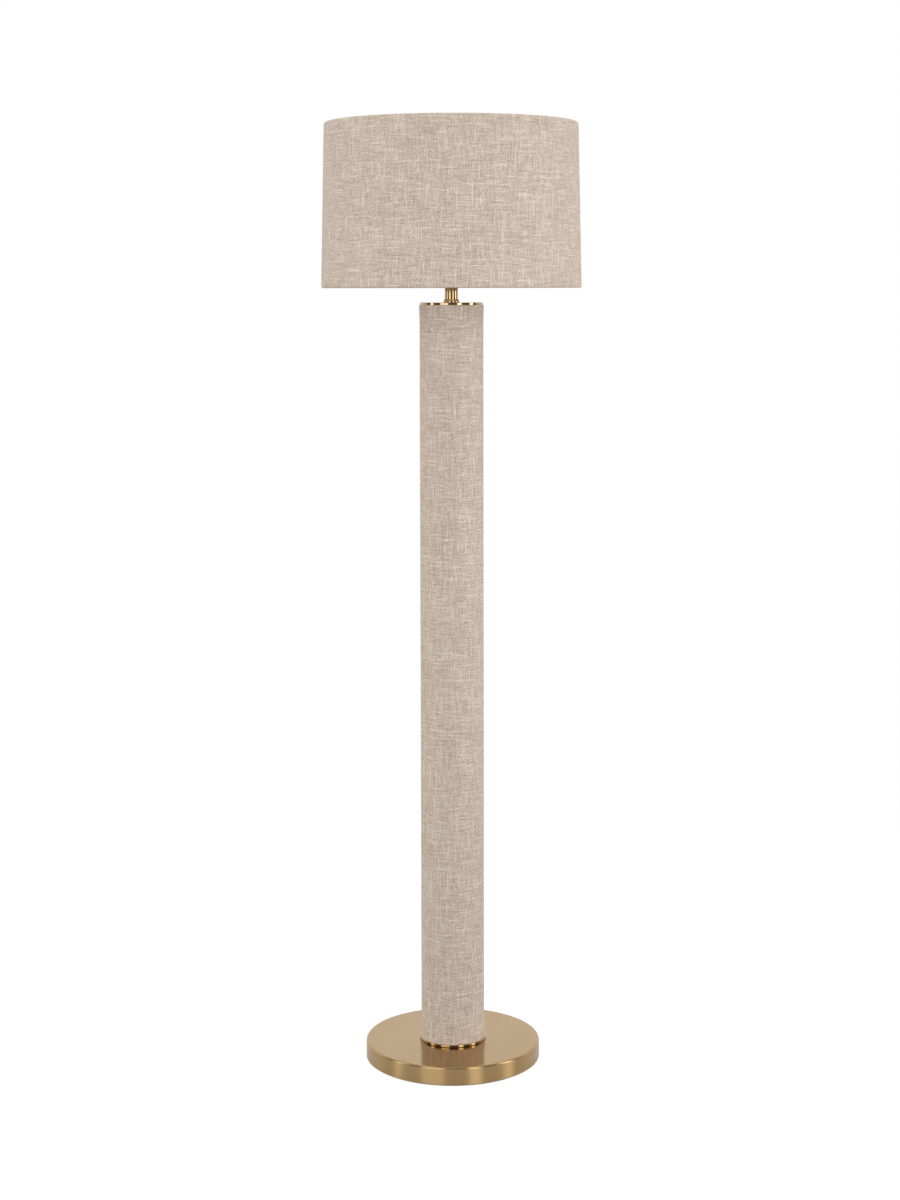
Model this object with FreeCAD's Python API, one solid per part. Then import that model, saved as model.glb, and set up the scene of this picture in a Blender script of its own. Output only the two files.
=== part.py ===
import FreeCAD, Part
import math
import os

# Column floor lamp. Millimetres, +Z up, origin on the floor under the middle of the base.
# The front of the lamp looks towards -Y, and the cord inlet is at the back, at +Y.

# Floor pad, base plate, iron weight and the spun cover over them
pad_thickness = 1.8
pad_inset = 3.4
pad_width = 26.0
base_radius = 148.9
base_height = 30.0
base_wall = 1.2
base_edge_radius = 3.6
base_lip_radius = 0.5
plate_thickness = 2.5
plate_gap = 0.3
plate_vent_radius = 14.0
weight_thickness = 15.0
weight_gap = 0.8
weight_edge_gap = 0.6
weight_rounding = 2.0
recess_radius = 17.0
recess_depth = 8.0
boss_radius = 9.0
boss_circle = 100.0
boss_count = 3
plate_screw_radius = 2.0
plate_screw_head_radius = 3.9
plate_screw_head_height = 2.1
plate_screw_length = 10.0
screw_slot_width = 0.9
screw_slot_depth = 0.9
cut_spare = 1.0

# Bush that the supply cord would run through
bush_bore_radius = 3.4
bush_wall = 1.35
bush_lip = 0.55
bush_lip_length = 1.6
bush_lip_taper = 1.0
bush_flange_width = 2.3
bush_flange_thickness = 2.0
bush_flange_rounding = 0.8
bush_flange_sink = 1.0
bush_clearance = 0.1

# Threaded tie rod with its nuts and washers
rod_radius = 5.0
rod_bore_radius = 3.7
rod_spare = 1.5
rod_clearance = 0.3
thread_gap = 0.05
nut_flats = 14.0
nut_height = 6.0
nut_chamfer = 0.8
base_washer_radius = 15.0
column_washer_radius = 9.0
washer_thickness = 1.5

# Column: foot ring, tube with its linen, plugs in the ends, and the cap
foot_ring_radius = 57.3
foot_ring_height = 4.3
foot_ring_rounding = 1.3
column_radius = 54.0
column_length = 1257.9
linen_thickness = 0.7
tube_wall = 2.5
plug_thickness = 18.0
foot_flare = 1.8
foot_flare_height = 40.0
foot_flare_easing = 0.18
foot_flare_easing_height = 10.0
head_flare = 0.8
head_flare_height = 45.0
flare_rounding = 250.0
linen_edge_rounding = 0.6
cap_inset = 0.1
cap_height = 4.5
cap_rounding = 0.7

# Neck between the column and the lampholder
neck_length = 31.5
neck_top_radius = 11.2
neck_foot_radius = 11.6
neck_bore_radius = 10.0
neck_flare = 2.0
neck_flare_height = 2.4
neck_flare_blend = 2.6
neck_flare_rounding = 1.2
collar_overhang = 0.8
collar_height = 2.0
collar_spigot = 5.0
collar_gap = 0.1
collar_rounding = 0.7
lock_washer_radius = 9.0
lock_washer_thickness = 1.0
lock_washer_teeth = 12
lock_tooth_depth = 1.4
lock_tooth_width = 1.1

# Lampholder cap, body and the parts in them
nipple_radius = 8.5
nipple_height = 4.0
nipple_blend = 1.0
holder_cap_height = 19.0
holder_cap_shoulder = 9.5
holder_cap_rounding = 5.0
holder_cap_wall = 1.3
holder_thread_depth = 10.0
holder_thread_wall = 3.0
holder_skirt = 4.0
holder_radius = 18.5
holder_wall = 1.3
holder_length = 51.0
holder_gap = 0.1
holder_rim_rounding = 0.5
ledge_width = 1.2
crest_height = 1.0
thread_pitch = 3.0
thread_crest_width = 1.0
thread_start = 17.5
thread_turns = 10.0
grub_radius = 1.5
grub_height = 2.0
grub_slot = 0.6
block_gap = 0.2
block_floor = 7.0
block_wall = 2.1
block_rim = 1.0
block_height = 36.0
shell_gap = 0.8
shell_thickness = 0.5
shell_short = 1.0
shell_corner = 1.0
shell_floor_radius = 9.0
leaf_width = 6.0
leaf_thickness = 0.5
leaf_length = 15.0
leaf_rise = 2.5
leaf_crown = 3.0
leaf_tip_rise = 1.0
rivet_head_radius = 2.0
rivet_head_height = 0.7
rivet_head_rounding = 0.6
rivet_radius = 1.1
rivet_length = 4.0
terminal_width = 5.0
terminal_length = 8.0
terminal_height = 5.0
terminal_offset = 9.5
terminal_screw_radius = 1.5
terminal_head_radius = 2.4
terminal_head_height = 1.4

# Push bar of the switch, through the lampholder body
bar_height = 10.0
bar_radius = 2.5
bar_clearance = 0.08
bar_travel = 6.0
bar_play = 0.3
knob_radius = 3.9
knob_length = 4.5
knob_rounding = 1.2
bar_socket = 2.5

# Threaded rings that clamp the shade
ring_clearance = 0.1
ring_radius = 26.0
ring_height = 6.0
ring_seat = 17.0
ring_grips = 18
ring_grip_radius = 1.6
ring_grip_depth = 0.7
ring_chamfer = 0.8
clamp_gap = 0.2

# Shade: wire rings, carrier, lining and linen
carrier_bore_radius = 21.0
carrier_radius = 28.5
carrier_thickness = 1.6
carrier_rise = 48.0
arm_radius = 1.6
arm_count = 3
arm_first_angle = 90.0
arm_weld = 1.4
shade_bottom_radius = 220.0
shade_top_radius = 214.25
shade_height = 277.0
shade_cloth = 0.8
shade_lining_thickness = 1.0
shade_wire_radius = 1.8
shade_wire_gap = 0.3
lining_gap = 0.1
hem_notch_gap = 0.2
hem_turn = 270.0

# Bulb
bulb_gap = 0.2
bulb_tip_radius = 4.8
bulb_tip_height = 2.3
bulb_tip_rounding = 1.8
bulb_insulator_height = 4.0
bulb_insulator_rim = 1.0
bulb_cap_gap = 0.5
bulb_cap_wall = 0.5
bulb_rim_gap = 0.5
bulb_collar_radius = 14.2
bulb_collar_height = 3.0
bulb_radius = 30.0
bulb_length = 110.0
bulb_split_angle = -27.0
bulb_wall = 1.3
bulb_shoulder_rounding = 6.0

# Heights of the seats, from the floor up
plate_bottom = pad_thickness
plate_top = plate_bottom + plate_thickness
base_top = plate_bottom + base_height
weight_top = base_top - base_wall
weight_bottom = weight_top - weight_thickness
column_bottom = base_top + foot_ring_height
column_top = column_bottom + column_length
neck_bottom = column_top + cap_height
neck_top = neck_bottom + neck_length
lock_washer_bottom = neck_top + collar_height
holder_cap_bottom = lock_washer_bottom + lock_washer_thickness
holder_cap_top = holder_cap_bottom + holder_cap_height
holder_bottom = holder_cap_top - holder_skirt
holder_top = holder_bottom + holder_length
lower_ring_bottom = holder_bottom + ring_seat
carrier_bottom = lower_ring_bottom + ring_height
clamp_ring_bottom = carrier_bottom + carrier_thickness + clamp_gap
shade_bottom = carrier_bottom - carrier_rise
block_top = holder_top - block_rim
block_bottom = block_top - block_height
block_seat = block_bottom + block_floor
bar_level = holder_bottom + bar_height
bulb_bottom = block_seat + leaf_rise + bulb_gap

# Radii that follow from the fits
tube_radius = column_radius - linen_thickness
plug_radius = tube_radius - tube_wall
rod_hole_radius = rod_radius + rod_clearance
rod_thread_radius = rod_radius + thread_gap
holder_inner_radius = holder_radius - holder_wall
crest_radius = holder_radius + crest_height
ring_bore_radius = crest_radius + ring_clearance
block_radius = holder_inner_radius - block_gap
block_bore_radius = block_radius - block_wall
shell_radius = block_bore_radius - shell_gap
bulb_cap_radius = shell_radius - shell_thickness - bulb_cap_gap

up = FreeCAD.Vector(0, 0, 1)
origin = FreeCAD.Vector(0, 0, 0)


def point(radius, height):
    return FreeCAD.Vector(radius, 0, height)


def turned_face(edges):
    # Turns a closed outline about the vertical axis and gives a solid.
    solid = Part.Face(Part.Wire(edges)).revolve(origin, up, 360)
    if solid.Volume < 0:
        solid.reverse()
    return solid


def outline(corners):
    # Edges through (radius, height) corners; a third number is the rounding of that corner.
    spans = []
    for i, corner in enumerate(corners):
        here = point(corner[0], corner[1])
        if len(corner) < 3:
            spans.append((here, here, None))
            continue
        last = corners[i - 1]
        following = corners[(i + 1) % len(corners)]
        towards_last = (point(last[0], last[1]) - here).normalize()
        towards_next = (point(following[0], following[1]) - here).normalize()
        half_angle = towards_last.getAngle(towards_next) / 2
        reach = corner[2] / math.tan(half_angle)
        start = here + towards_last * reach
        end = here + towards_next * reach
        depth = corner[2] / math.sin(half_angle) - corner[2]
        middle = here + (towards_last + towards_next).normalize() * depth
        spans.append((start, end, middle))
    edges = []
    for i, (start, end, middle) in enumerate(spans):
        if middle:
            edges.append(Part.Arc(start, middle, end).toShape())
        next_start = spans[(i + 1) % len(spans)][0]
        if end.distanceToPoint(next_start) > 0.0001:
            edges.append(Part.makeLine(end, next_start))
    return edges


def turned(corners):
    return turned_face(outline(corners))


def ring(outer, inner, bottom, height):
    return turned([(inner, bottom), (outer, bottom), (outer, bottom + height), (inner, bottom + height)])


def around(shape, count, first_angle=0.0):
    # Copies of a shape, evenly spaced about the vertical axis.
    copies = []
    for i in range(count):
        copy = shape.copy()
        copy.rotate(origin, up, first_angle + 360.0 * i / count)
        copies.append(copy)
    return copies


def cylinder_from(radius, length, start, direction):
    return Part.makeCylinder(radius, length, start, direction)


def box_between(low, high):
    size = high - low
    return Part.makeBox(size.x, size.y, size.z, low)


def hex_nut(bottom):
    # A hexagon with both ends chamfered, and a hole for the rod.
    corner = nut_flats / math.sqrt(3)
    corners = []
    for i in range(7):
        angle = math.radians(60 * i + 30)
        corners.append(FreeCAD.Vector(corner * math.cos(angle), corner * math.sin(angle), bottom))
    prism = Part.Face(Part.makePolygon(corners)).extrude(up * nut_height)
    flat_radius = nut_flats / 2
    top = bottom + nut_height
    blank = turned([
        (rod_thread_radius, bottom),
        (flat_radius, bottom),
        (flat_radius + 2 * nut_chamfer, bottom + nut_chamfer),
        (flat_radius + 2 * nut_chamfer, top - nut_chamfer),
        (flat_radius, top),
        (rod_thread_radius, top),
    ])
    return prism.common(blank)


def slotted(head_centre, axis, across, radius, width, depth):
    # The driver slot of a screw head, as a box to cut away; across lies along the slot.
    side = axis.cross(across).normalize()
    corner = head_centre - across * radius - side * (width / 2) - axis * depth
    corners = [
        corner,
        corner + across * (2 * radius),
        corner + across * (2 * radius) + side * width,
        corner + side * width,
        corner,
    ]
    return Part.Face(Part.makePolygon(corners)).extrude(axis * (2 * depth))


# ---- Base ----

def floor_pad():
    outer = base_radius - pad_inset
    return ring(outer, outer - pad_width, 0, pad_thickness)


def screw_blank():
    # A countersunk screw pointing up, with its head flush in the underside of the plate.
    return turned([
        (0, plate_bottom),
        (plate_screw_head_radius, plate_bottom),
        (plate_screw_radius, plate_bottom + plate_screw_head_height),
        (plate_screw_radius, plate_bottom + plate_screw_length),
        (0, plate_bottom + plate_screw_length),
    ])


def plate_screws():
    place = FreeCAD.Vector(boss_circle, 0, 0)
    head = FreeCAD.Vector(boss_circle, 0, plate_bottom)
    screw = screw_blank()
    screw.translate(place)
    for across in (FreeCAD.Vector(1, 0, 0), FreeCAD.Vector(0, 1, 0)):
        slot = slotted(head, up * -1, across, plate_screw_radius, screw_slot_width, screw_slot_depth)
        screw = screw.cut(slot)
    return Part.makeCompound(around(screw, boss_count, -90))


def base_plate():
    radius = base_radius - base_wall - plate_gap
    plate = ring(radius, plate_vent_radius, plate_bottom, plate_thickness)
    hole = screw_blank()
    hole.translate(FreeCAD.Vector(boss_circle, 0, 0))
    return plate.cut(around(hole, boss_count, -90))


def base_weight():
    radius = base_radius - base_wall - weight_gap
    weight = turned([
        (rod_hole_radius, weight_bottom + recess_depth),
        (recess_radius, weight_bottom + recess_depth),
        (recess_radius, weight_bottom),
        (radius, weight_bottom, weight_rounding),
        (radius, weight_top - base_edge_radius - weight_edge_gap),
        (radius - base_edge_radius, weight_top),
        (rod_hole_radius, weight_top),
    ])
    boss_foot = FreeCAD.Vector(boss_circle, 0, plate_top)
    boss = Part.makeCylinder(boss_radius, weight_bottom - plate_top + cut_spare, boss_foot)
    hole_height = plate_screw_length - plate_thickness + thread_gap
    hole = Part.makeCylinder(plate_screw_radius, hole_height, boss_foot)
    weight = weight.fuse(around(boss, boss_count, -90))
    return weight.cut(around(hole, boss_count, -90)).removeSplitter()


def bush_level():
    return (plate_top + weight_bottom) / 2


def base_cover():
    inner = base_radius - base_wall
    inner_rounding = base_edge_radius - base_wall
    cover = turned([
        (inner, plate_bottom),
        (base_radius, plate_bottom, base_lip_radius),
        (base_radius, base_top, base_edge_radius),
        (rod_hole_radius, base_top),
        (rod_hole_radius, weight_top),
        (inner, weight_top, inner_rounding),
    ])
    start = FreeCAD.Vector(0, base_radius / 2, bush_level())
    hole_radius = bush_bore_radius + bush_wall + bush_clearance
    return cover.cut(cylinder_from(hole_radius, base_radius, start, FreeCAD.Vector(0, 1, 0)))


def cord_bush():
    # A snap-in bush: flange outside, groove in the wall, lip inside.
    neck = bush_bore_radius + bush_wall
    inside = base_radius - base_wall - bush_clearance
    lip = inside - bush_lip_length
    flange = base_radius - bush_flange_sink
    face = base_radius + bush_flange_thickness
    bush = turned([
        (bush_bore_radius, lip - bush_lip_taper),
        (neck, lip - bush_lip_taper),
        (neck + bush_lip, lip),
        (neck + bush_lip, inside),
        (neck, inside),
        (neck, flange),
        (neck + bush_flange_width, flange),
        (neck + bush_flange_width, face, bush_flange_rounding),
        (bush_bore_radius, face, bush_flange_rounding),
    ])
    bush.rotate(origin, FreeCAD.Vector(1, 0, 0), -90)
    bush.translate(FreeCAD.Vector(0, 0, bush_level()))
    wall = ring(base_radius, base_radius - base_wall, plate_bottom, base_height - base_edge_radius)
    start = FreeCAD.Vector(0, base_radius / 2, bush_level())
    hole = cylinder_from(neck + bush_clearance, base_radius, start, FreeCAD.Vector(0, 1, 0))
    return bush.cut(wall.cut(hole))


# ---- Tie rod and fasteners ----

def base_washer_bottom():
    return weight_bottom + recess_depth - washer_thickness


def tie_rod():
    bottom = base_washer_bottom() - nut_height - rod_spare
    top = holder_cap_bottom + holder_thread_depth
    return ring(rod_radius, rod_bore_radius, bottom, top - bottom)


def lock_washer():
    washer = ring(lock_washer_radius, rod_hole_radius, lock_washer_bottom, lock_washer_thickness)
    root = lock_washer_radius - lock_tooth_depth
    tip = lock_washer_radius + cut_spare
    low = FreeCAD.Vector(root, -lock_tooth_width / 2, lock_washer_bottom - cut_spare)
    high = FreeCAD.Vector(tip, lock_tooth_width / 2, holder_cap_bottom + cut_spare)
    return washer.cut(around(box_between(low, high), lock_washer_teeth))


# ---- Column ----

def foot_ring():
    return turned([
        (rod_hole_radius, base_top),
        (foot_ring_radius, base_top, foot_ring_rounding),
        (foot_ring_radius, column_bottom, foot_ring_rounding),
        (rod_hole_radius, column_bottom),
    ])


def column_tube():
    return ring(tube_radius, plug_radius, column_bottom, column_length)


def column_linen():
    # The cloth is turned in at both ends, so it stands a little prouder there.
    hem = column_radius + foot_flare
    return turned([
        (tube_radius, column_bottom),
        (hem, column_bottom, linen_edge_rounding),
        (hem - foot_flare_easing, column_bottom + foot_flare_easing_height, flare_rounding),
        (column_radius, column_bottom + foot_flare_height, flare_rounding),
        (column_radius, column_top - head_flare_height, flare_rounding),
        (column_radius + head_flare, column_top, linen_edge_rounding),
        (tube_radius, column_top),
    ])


def plug(bottom):
    return ring(plug_radius, rod_hole_radius, bottom, plug_thickness)


def column_cap():
    radius = column_radius - cap_inset
    return turned([
        (rod_hole_radius, column_top),
        (radius, column_top, cap_rounding),
        (radius, neck_bottom, cap_rounding),
        (rod_hole_radius, neck_bottom),
    ])


# ---- Neck ----

def neck_tube():
    flare_top = neck_bottom + neck_flare_height
    return turned([
        (neck_bore_radius, neck_bottom),
        (neck_foot_radius + neck_flare, neck_bottom),
        (neck_foot_radius + neck_flare, flare_top, neck_flare_rounding),
        (neck_foot_radius, flare_top + neck_flare_blend, neck_flare_rounding),
        (neck_top_radius, neck_top),
        (neck_bore_radius, neck_top),
    ])


def neck_collar():
    spigot = neck_bore_radius - collar_gap
    return turned([
        (rod_hole_radius, neck_top - collar_spigot),
        (spigot, neck_top - collar_spigot),
        (spigot, neck_top),
        (neck_top_radius + collar_overhang, neck_top),
        (neck_top_radius + collar_overhang, lock_washer_bottom, collar_rounding),
        (rod_hole_radius, lock_washer_bottom),
    ])


# ---- Lampholder ----

def holder_cap():
    skirt_inner = holder_radius + holder_gap
    skirt_outer = skirt_inner + holder_cap_wall
    shoulder = holder_cap_bottom + holder_cap_shoulder
    ledge = skirt_inner - ledge_width
    thread_outer = rod_thread_radius + holder_thread_wall
    thread_top = holder_cap_bottom + holder_thread_depth
    cap = turned([
        (rod_thread_radius, holder_cap_bottom),
        (nipple_radius, holder_cap_bottom),
        (nipple_radius, holder_cap_bottom + nipple_height, nipple_blend),
        (skirt_outer, shoulder, holder_cap_rounding),
        (skirt_outer, holder_cap_top),
        (skirt_inner, holder_cap_top),
        (skirt_inner, holder_bottom),
        (ledge, holder_bottom),
        (ledge, shoulder + holder_cap_wall, holder_cap_rounding - holder_cap_wall),
        (thread_outer, holder_cap_bottom + nipple_height + 2 * holder_cap_wall),
        (thread_outer, thread_top),
        (rod_thread_radius, thread_top),
    ])
    return cap.cut(grub_blank(0))


def grub_blank(slot_depth):
    # The grub screw at the back of the nipple, which locks the lampholder on the rod.
    backward = FreeCAD.Vector(0, 1, 0)
    across = FreeCAD.Vector(1, 0, 0)
    start = FreeCAD.Vector(0, rod_radius, holder_cap_bottom + grub_height)
    length = nipple_radius - rod_radius
    screw = cylinder_from(grub_radius, length, start, backward)
    if slot_depth > 0:
        screw = screw.cut(slotted(start + backward * length, backward, across, grub_radius, grub_slot, slot_depth))
    return screw


def thread_ridge(start, turns):
    # One helical ridge of the coarse outer thread, with its root sunk in the body.
    helix = Part.makeHelix(thread_pitch, thread_pitch * turns, holder_radius)
    helix.translate(FreeCAD.Vector(0, 0, start))
    root = holder_radius - holder_wall / 2
    half_root = thread_crest_width
    half_crest = thread_crest_width / 2
    section = Part.makePolygon([
        point(root, start - half_root),
        point(crest_radius, start - half_crest),
        point(crest_radius, start + half_crest),
        point(root, start + half_root),
        point(root, start - half_root),
    ])
    return Part.Wire(helix).makePipeShell([section], True, True)


def holder_body():
    body = turned([
        (holder_inner_radius, holder_bottom),
        (holder_radius, holder_bottom),
        (holder_radius, holder_top, holder_rim_rounding),
        (holder_inner_radius, holder_top),
    ])
    body = body.fuse(thread_ridge(holder_bottom + thread_start, thread_turns))
    start = FreeCAD.Vector(-crest_radius * 2, 0, bar_level)
    bar_hole = cylinder_from(bar_radius + bar_clearance, crest_radius * 4, start, FreeCAD.Vector(1, 0, 0))
    return body.cut(bar_hole)


def contact_block():
    block = turned([
        (0, block_bottom),
        (block_radius, block_bottom),
        (block_radius, block_top),
        (block_bore_radius, block_top),
        (block_bore_radius, block_seat),
        (0, block_seat),
    ])
    return block.cut(rivet_blank())


def screw_shell():
    inner = shell_radius - shell_thickness
    return turned([
        (shell_floor_radius, block_seat),
        (shell_radius, block_seat, shell_corner),
        (shell_radius, block_top - shell_short),
        (inner, block_top - shell_short),
        (inner, block_seat + shell_thickness, shell_corner - shell_thickness),
        (shell_floor_radius, block_seat + shell_thickness),
    ])


def rivet_place():
    return FreeCAD.Vector(rivet_head_radius - leaf_length / 2, 0, 0)


def rivet_blank():
    start = rivet_place() + up * (block_seat - rivet_length)
    return Part.makeCylinder(rivet_radius, rivet_length, start)


def contact_rivet():
    top = block_seat + leaf_thickness
    rivet = turned([
        (0, block_seat - rivet_length),
        (rivet_radius, block_seat - rivet_length),
        (rivet_radius, top),
        (rivet_head_radius, top),
        (rivet_head_radius, top + rivet_head_height, rivet_head_rounding),
        (0, top + rivet_head_height),
    ])
    rivet.translate(rivet_place())
    return rivet


def centre_contact():
    # A strip that lies flat under its rivet and arches up to meet the bulb.
    end = leaf_length / 2
    foot = 2 * rivet_head_radius - end
    crest = leaf_rise - leaf_thickness
    path = [(-end, 0), (foot, 0), (-leaf_crown / 2, crest), (leaf_crown / 2, crest), (end, leaf_tip_rise)]
    lower = [point(x, block_seat + z) for x, z in path]
    upper = [p + up * leaf_thickness for p in reversed(lower)]
    strip = Part.Face(Part.makePolygon(lower + upper + [lower[0]]))
    solid = strip.extrude(FreeCAD.Vector(0, leaf_width, 0))
    solid.translate(FreeCAD.Vector(0, -leaf_width / 2, 0))
    hole_foot = rivet_place() + up * (block_seat - cut_spare)
    return solid.cut(Part.makeCylinder(rivet_radius, leaf_thickness + 2 * cut_spare, hole_foot))


def terminal_screw_blank():
    # A cheese-head screw that goes into the front of a terminal.
    start = FreeCAD.Vector(0, terminal_offset, block_bottom - terminal_height / 2)
    outward = FreeCAD.Vector(1, 0, 0)
    face = start + outward * (terminal_length / 2)
    shank = cylinder_from(terminal_screw_radius, terminal_length / 2, start, outward)
    head = cylinder_from(terminal_head_radius, terminal_head_height, face, outward)
    slot = slotted(face + outward * terminal_head_height, outward, FreeCAD.Vector(0, 1, 0),
                   terminal_head_radius, screw_slot_width, terminal_head_height / 2)
    return shank.fuse(head).cut(slot)


def terminals():
    near = terminal_offset - terminal_width / 2
    far = terminal_offset + terminal_width / 2
    low = FreeCAD.Vector(-terminal_length / 2, near, block_bottom - terminal_height)
    high = FreeCAD.Vector(terminal_length / 2, far, block_bottom)
    start = FreeCAD.Vector(0, terminal_offset, block_bottom - terminal_height / 2)
    hole = cylinder_from(terminal_screw_radius, terminal_length, start, FreeCAD.Vector(1, 0, 0))
    return Part.makeCompound(around(box_between(low, high).cut(hole), 2))


def terminal_screws():
    return Part.makeCompound(around(terminal_screw_blank(), 2))


# ---- Switch ----

def left_knob_inner():
    return -(holder_radius + bar_play + bar_travel)


def right_knob_inner():
    return holder_radius + bar_play


def switch_bar():
    start = FreeCAD.Vector(left_knob_inner() - bar_socket, 0, bar_level)
    length = right_knob_inner() - left_knob_inner() + 2 * bar_socket
    return cylinder_from(bar_radius, length, start, FreeCAD.Vector(1, 0, 0))


def knob(turn):
    # A button that is pressed on the end of the bar.
    blank = turned([
        (0, bar_socket),
        (bar_radius, bar_socket),
        (bar_radius, 0),
        (knob_radius, 0),
        (knob_radius, knob_length, knob_rounding),
        (0, knob_length),
    ])
    blank.rotate(origin, FreeCAD.Vector(0, 1, 0), turn)
    return blank


def switch_knobs():
    left = knob(-90)
    left.translate(FreeCAD.Vector(left_knob_inner(), 0, bar_level))
    right = knob(90)
    right.translate(FreeCAD.Vector(right_knob_inner(), 0, bar_level))
    return Part.makeCompound([left, right])


# ---- Shade rings ----

def shade_ring(bottom):
    # A threaded ring with finger grips around its edge.
    top = bottom + ring_height
    body = turned([
        (ring_bore_radius, bottom),
        (ring_radius - ring_chamfer, bottom),
        (ring_radius, bottom + ring_chamfer),
        (ring_radius, top - ring_chamfer),
        (ring_radius - ring_chamfer, top),
        (ring_bore_radius, top),
    ])
    offset = ring_radius + ring_grip_radius - ring_grip_depth
    grip_foot = FreeCAD.Vector(offset, 0, bottom - cut_spare)
    grip = Part.makeCylinder(ring_grip_radius, ring_height + 2 * cut_spare, grip_foot)
    return body.cut(around(grip, ring_grips))


# ---- Shade ----

def shade_slope():
    return math.atan2(shade_bottom_radius - shade_top_radius, shade_height)


def shade_length():
    return math.hypot(shade_bottom_radius - shade_top_radius, shade_height)


def on_shade(along, depth):
    # A point that lies so far up the slant of the shade's wall, and so deep behind its face.
    lean = shade_slope()
    radius = shade_bottom_radius - along * math.sin(lean) - depth * math.cos(lean)
    height = shade_bottom + along * math.cos(lean) - depth * math.sin(lean)
    return point(radius, height)


def hem_radius():
    return shade_cloth + shade_wire_gap + shade_wire_radius


def wire_ring(along):
    centre = on_shade(along, hem_radius())
    return Part.makeTorus(centre.x, shade_wire_radius, FreeCAD.Vector(0, 0, centre.z))


def on_hem(centre, radius, inwards, share):
    # A point so far round the wire, from the face of the cloth to the free edge behind the wire.
    angle = math.radians(hem_turn * share)
    return on_shade(centre - inwards * radius * math.sin(angle), hem_radius() - radius * math.cos(angle))


def rolled_hem(centre, inwards):
    # Both faces of the cloth around one wire, and the free edge that joins them.
    edges = []
    ends = []
    for radius in (hem_radius(), shade_wire_radius + shade_wire_gap):
        marks = [on_hem(centre, radius, inwards, i / 4) for i in range(5)]
        edges.append(Part.Arc(marks[0], marks[1], marks[2]).toShape())
        edges.append(Part.Arc(marks[2], marks[3], marks[4]).toShape())
        ends.append(marks[4])
    edges.append(Part.makeLine(ends[0], ends[1]))
    return edges


def shade_linen():
    # One wall of cloth, rolled around the wire at each end, with a notch in the hem for each arm.
    low = hem_radius()
    high = shade_length() - low
    edges = rolled_hem(low, 1) + rolled_hem(high, -1)
    edges.append(Part.makeLine(on_shade(low, 0), on_shade(high, 0)))
    edges.append(Part.makeLine(on_shade(low, shade_cloth), on_shade(high, shade_cloth)))
    cloth = turned_face(Part.__sortEdges__(edges))
    notch = arm_blank(arm_radius + hem_notch_gap)
    upper_notch = notch.copy()
    upper_notch.translate(up * hem_radius())
    notches = around(notch, arm_count, arm_first_angle) + around(upper_notch, arm_count, arm_first_angle)
    return cloth.cut(notches)


def shade_lining():
    # A stiff sheet that backs the cloth between the two wires.
    low = 2 * hem_radius() + lining_gap
    high = shade_length() - low
    corners = [
        on_shade(low, shade_cloth),
        on_shade(high, shade_cloth),
        on_shade(high, shade_cloth + shade_lining_thickness),
        on_shade(low, shade_cloth + shade_lining_thickness),
        on_shade(low, shade_cloth),
    ]
    return turned_face(Part.makePolygon(corners).Edges)


def arm_blank(radius):
    # A straight wire from the carrier ring down to the middle of the bottom wire.
    inner = point(carrier_radius - arm_weld, carrier_bottom + carrier_thickness / 2)
    outer = on_shade(hem_radius(), hem_radius())
    return cylinder_from(radius, (outer - inner).Length, inner, outer - inner)


def carrier_ring():
    return ring(carrier_radius, carrier_bore_radius, carrier_bottom, carrier_thickness)


def carrier_arms():
    # Each arm is welded over the edge of the carrier ring and on to the bottom wire.
    arm = arm_blank(arm_radius).cut([carrier_ring(), wire_ring(hem_radius())])
    return Part.makeCompound(around(arm, arm_count, arm_first_angle))


# ---- Bulb ----

def bulb_insulator_bottom():
    return bulb_bottom + bulb_tip_height


def bulb_cap_bottom():
    return bulb_insulator_bottom() + bulb_insulator_height


def bulb_body_bottom():
    return holder_top + bulb_rim_gap


def bulb_contact():
    top = bulb_insulator_bottom()
    return turned([
        (0, bulb_bottom),
        (bulb_tip_radius, bulb_bottom, bulb_tip_rounding),
        (bulb_tip_radius, top),
        (0, top),
    ])


def bulb_insulator():
    bottom = bulb_insulator_bottom()
    return turned([
        (0, bottom),
        (bulb_tip_radius + bulb_insulator_rim, bottom),
        (bulb_cap_radius - bulb_cap_wall, bulb_cap_bottom()),
        (0, bulb_cap_bottom()),
    ])


def bulb_cap():
    inner = bulb_cap_radius - bulb_cap_wall
    bottom = bulb_cap_bottom()
    top = bulb_body_bottom()
    return turned([
        (0, bottom),
        (inner, bottom),
        (bulb_cap_radius, bottom + 2 * bulb_cap_wall),
        (bulb_cap_radius, top),
        (inner, top),
        (inner, bottom + 2 * bulb_cap_wall),
        (0, bottom + 2 * bulb_cap_wall),
    ])


def globe_point(radius, degrees):
    angle = math.radians(degrees)
    middle = bulb_bottom + bulb_length - bulb_radius
    return point(radius * math.cos(angle), middle + radius * math.sin(angle))


def bulb_body():
    top = globe_point(bulb_radius, bulb_split_angle)
    bottom = bulb_body_bottom()
    collar_top = bottom + bulb_collar_height
    return turned([
        (0, bottom),
        (bulb_collar_radius, bottom),
        (bulb_collar_radius, collar_top, bulb_shoulder_rounding),
        (top.x, top.z),
        (top.x - bulb_wall, top.z),
        (bulb_collar_radius - bulb_wall, collar_top, bulb_shoulder_rounding),
        (bulb_collar_radius - bulb_wall, bottom + bulb_wall),
        (0, bottom + bulb_wall),
    ])


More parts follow.
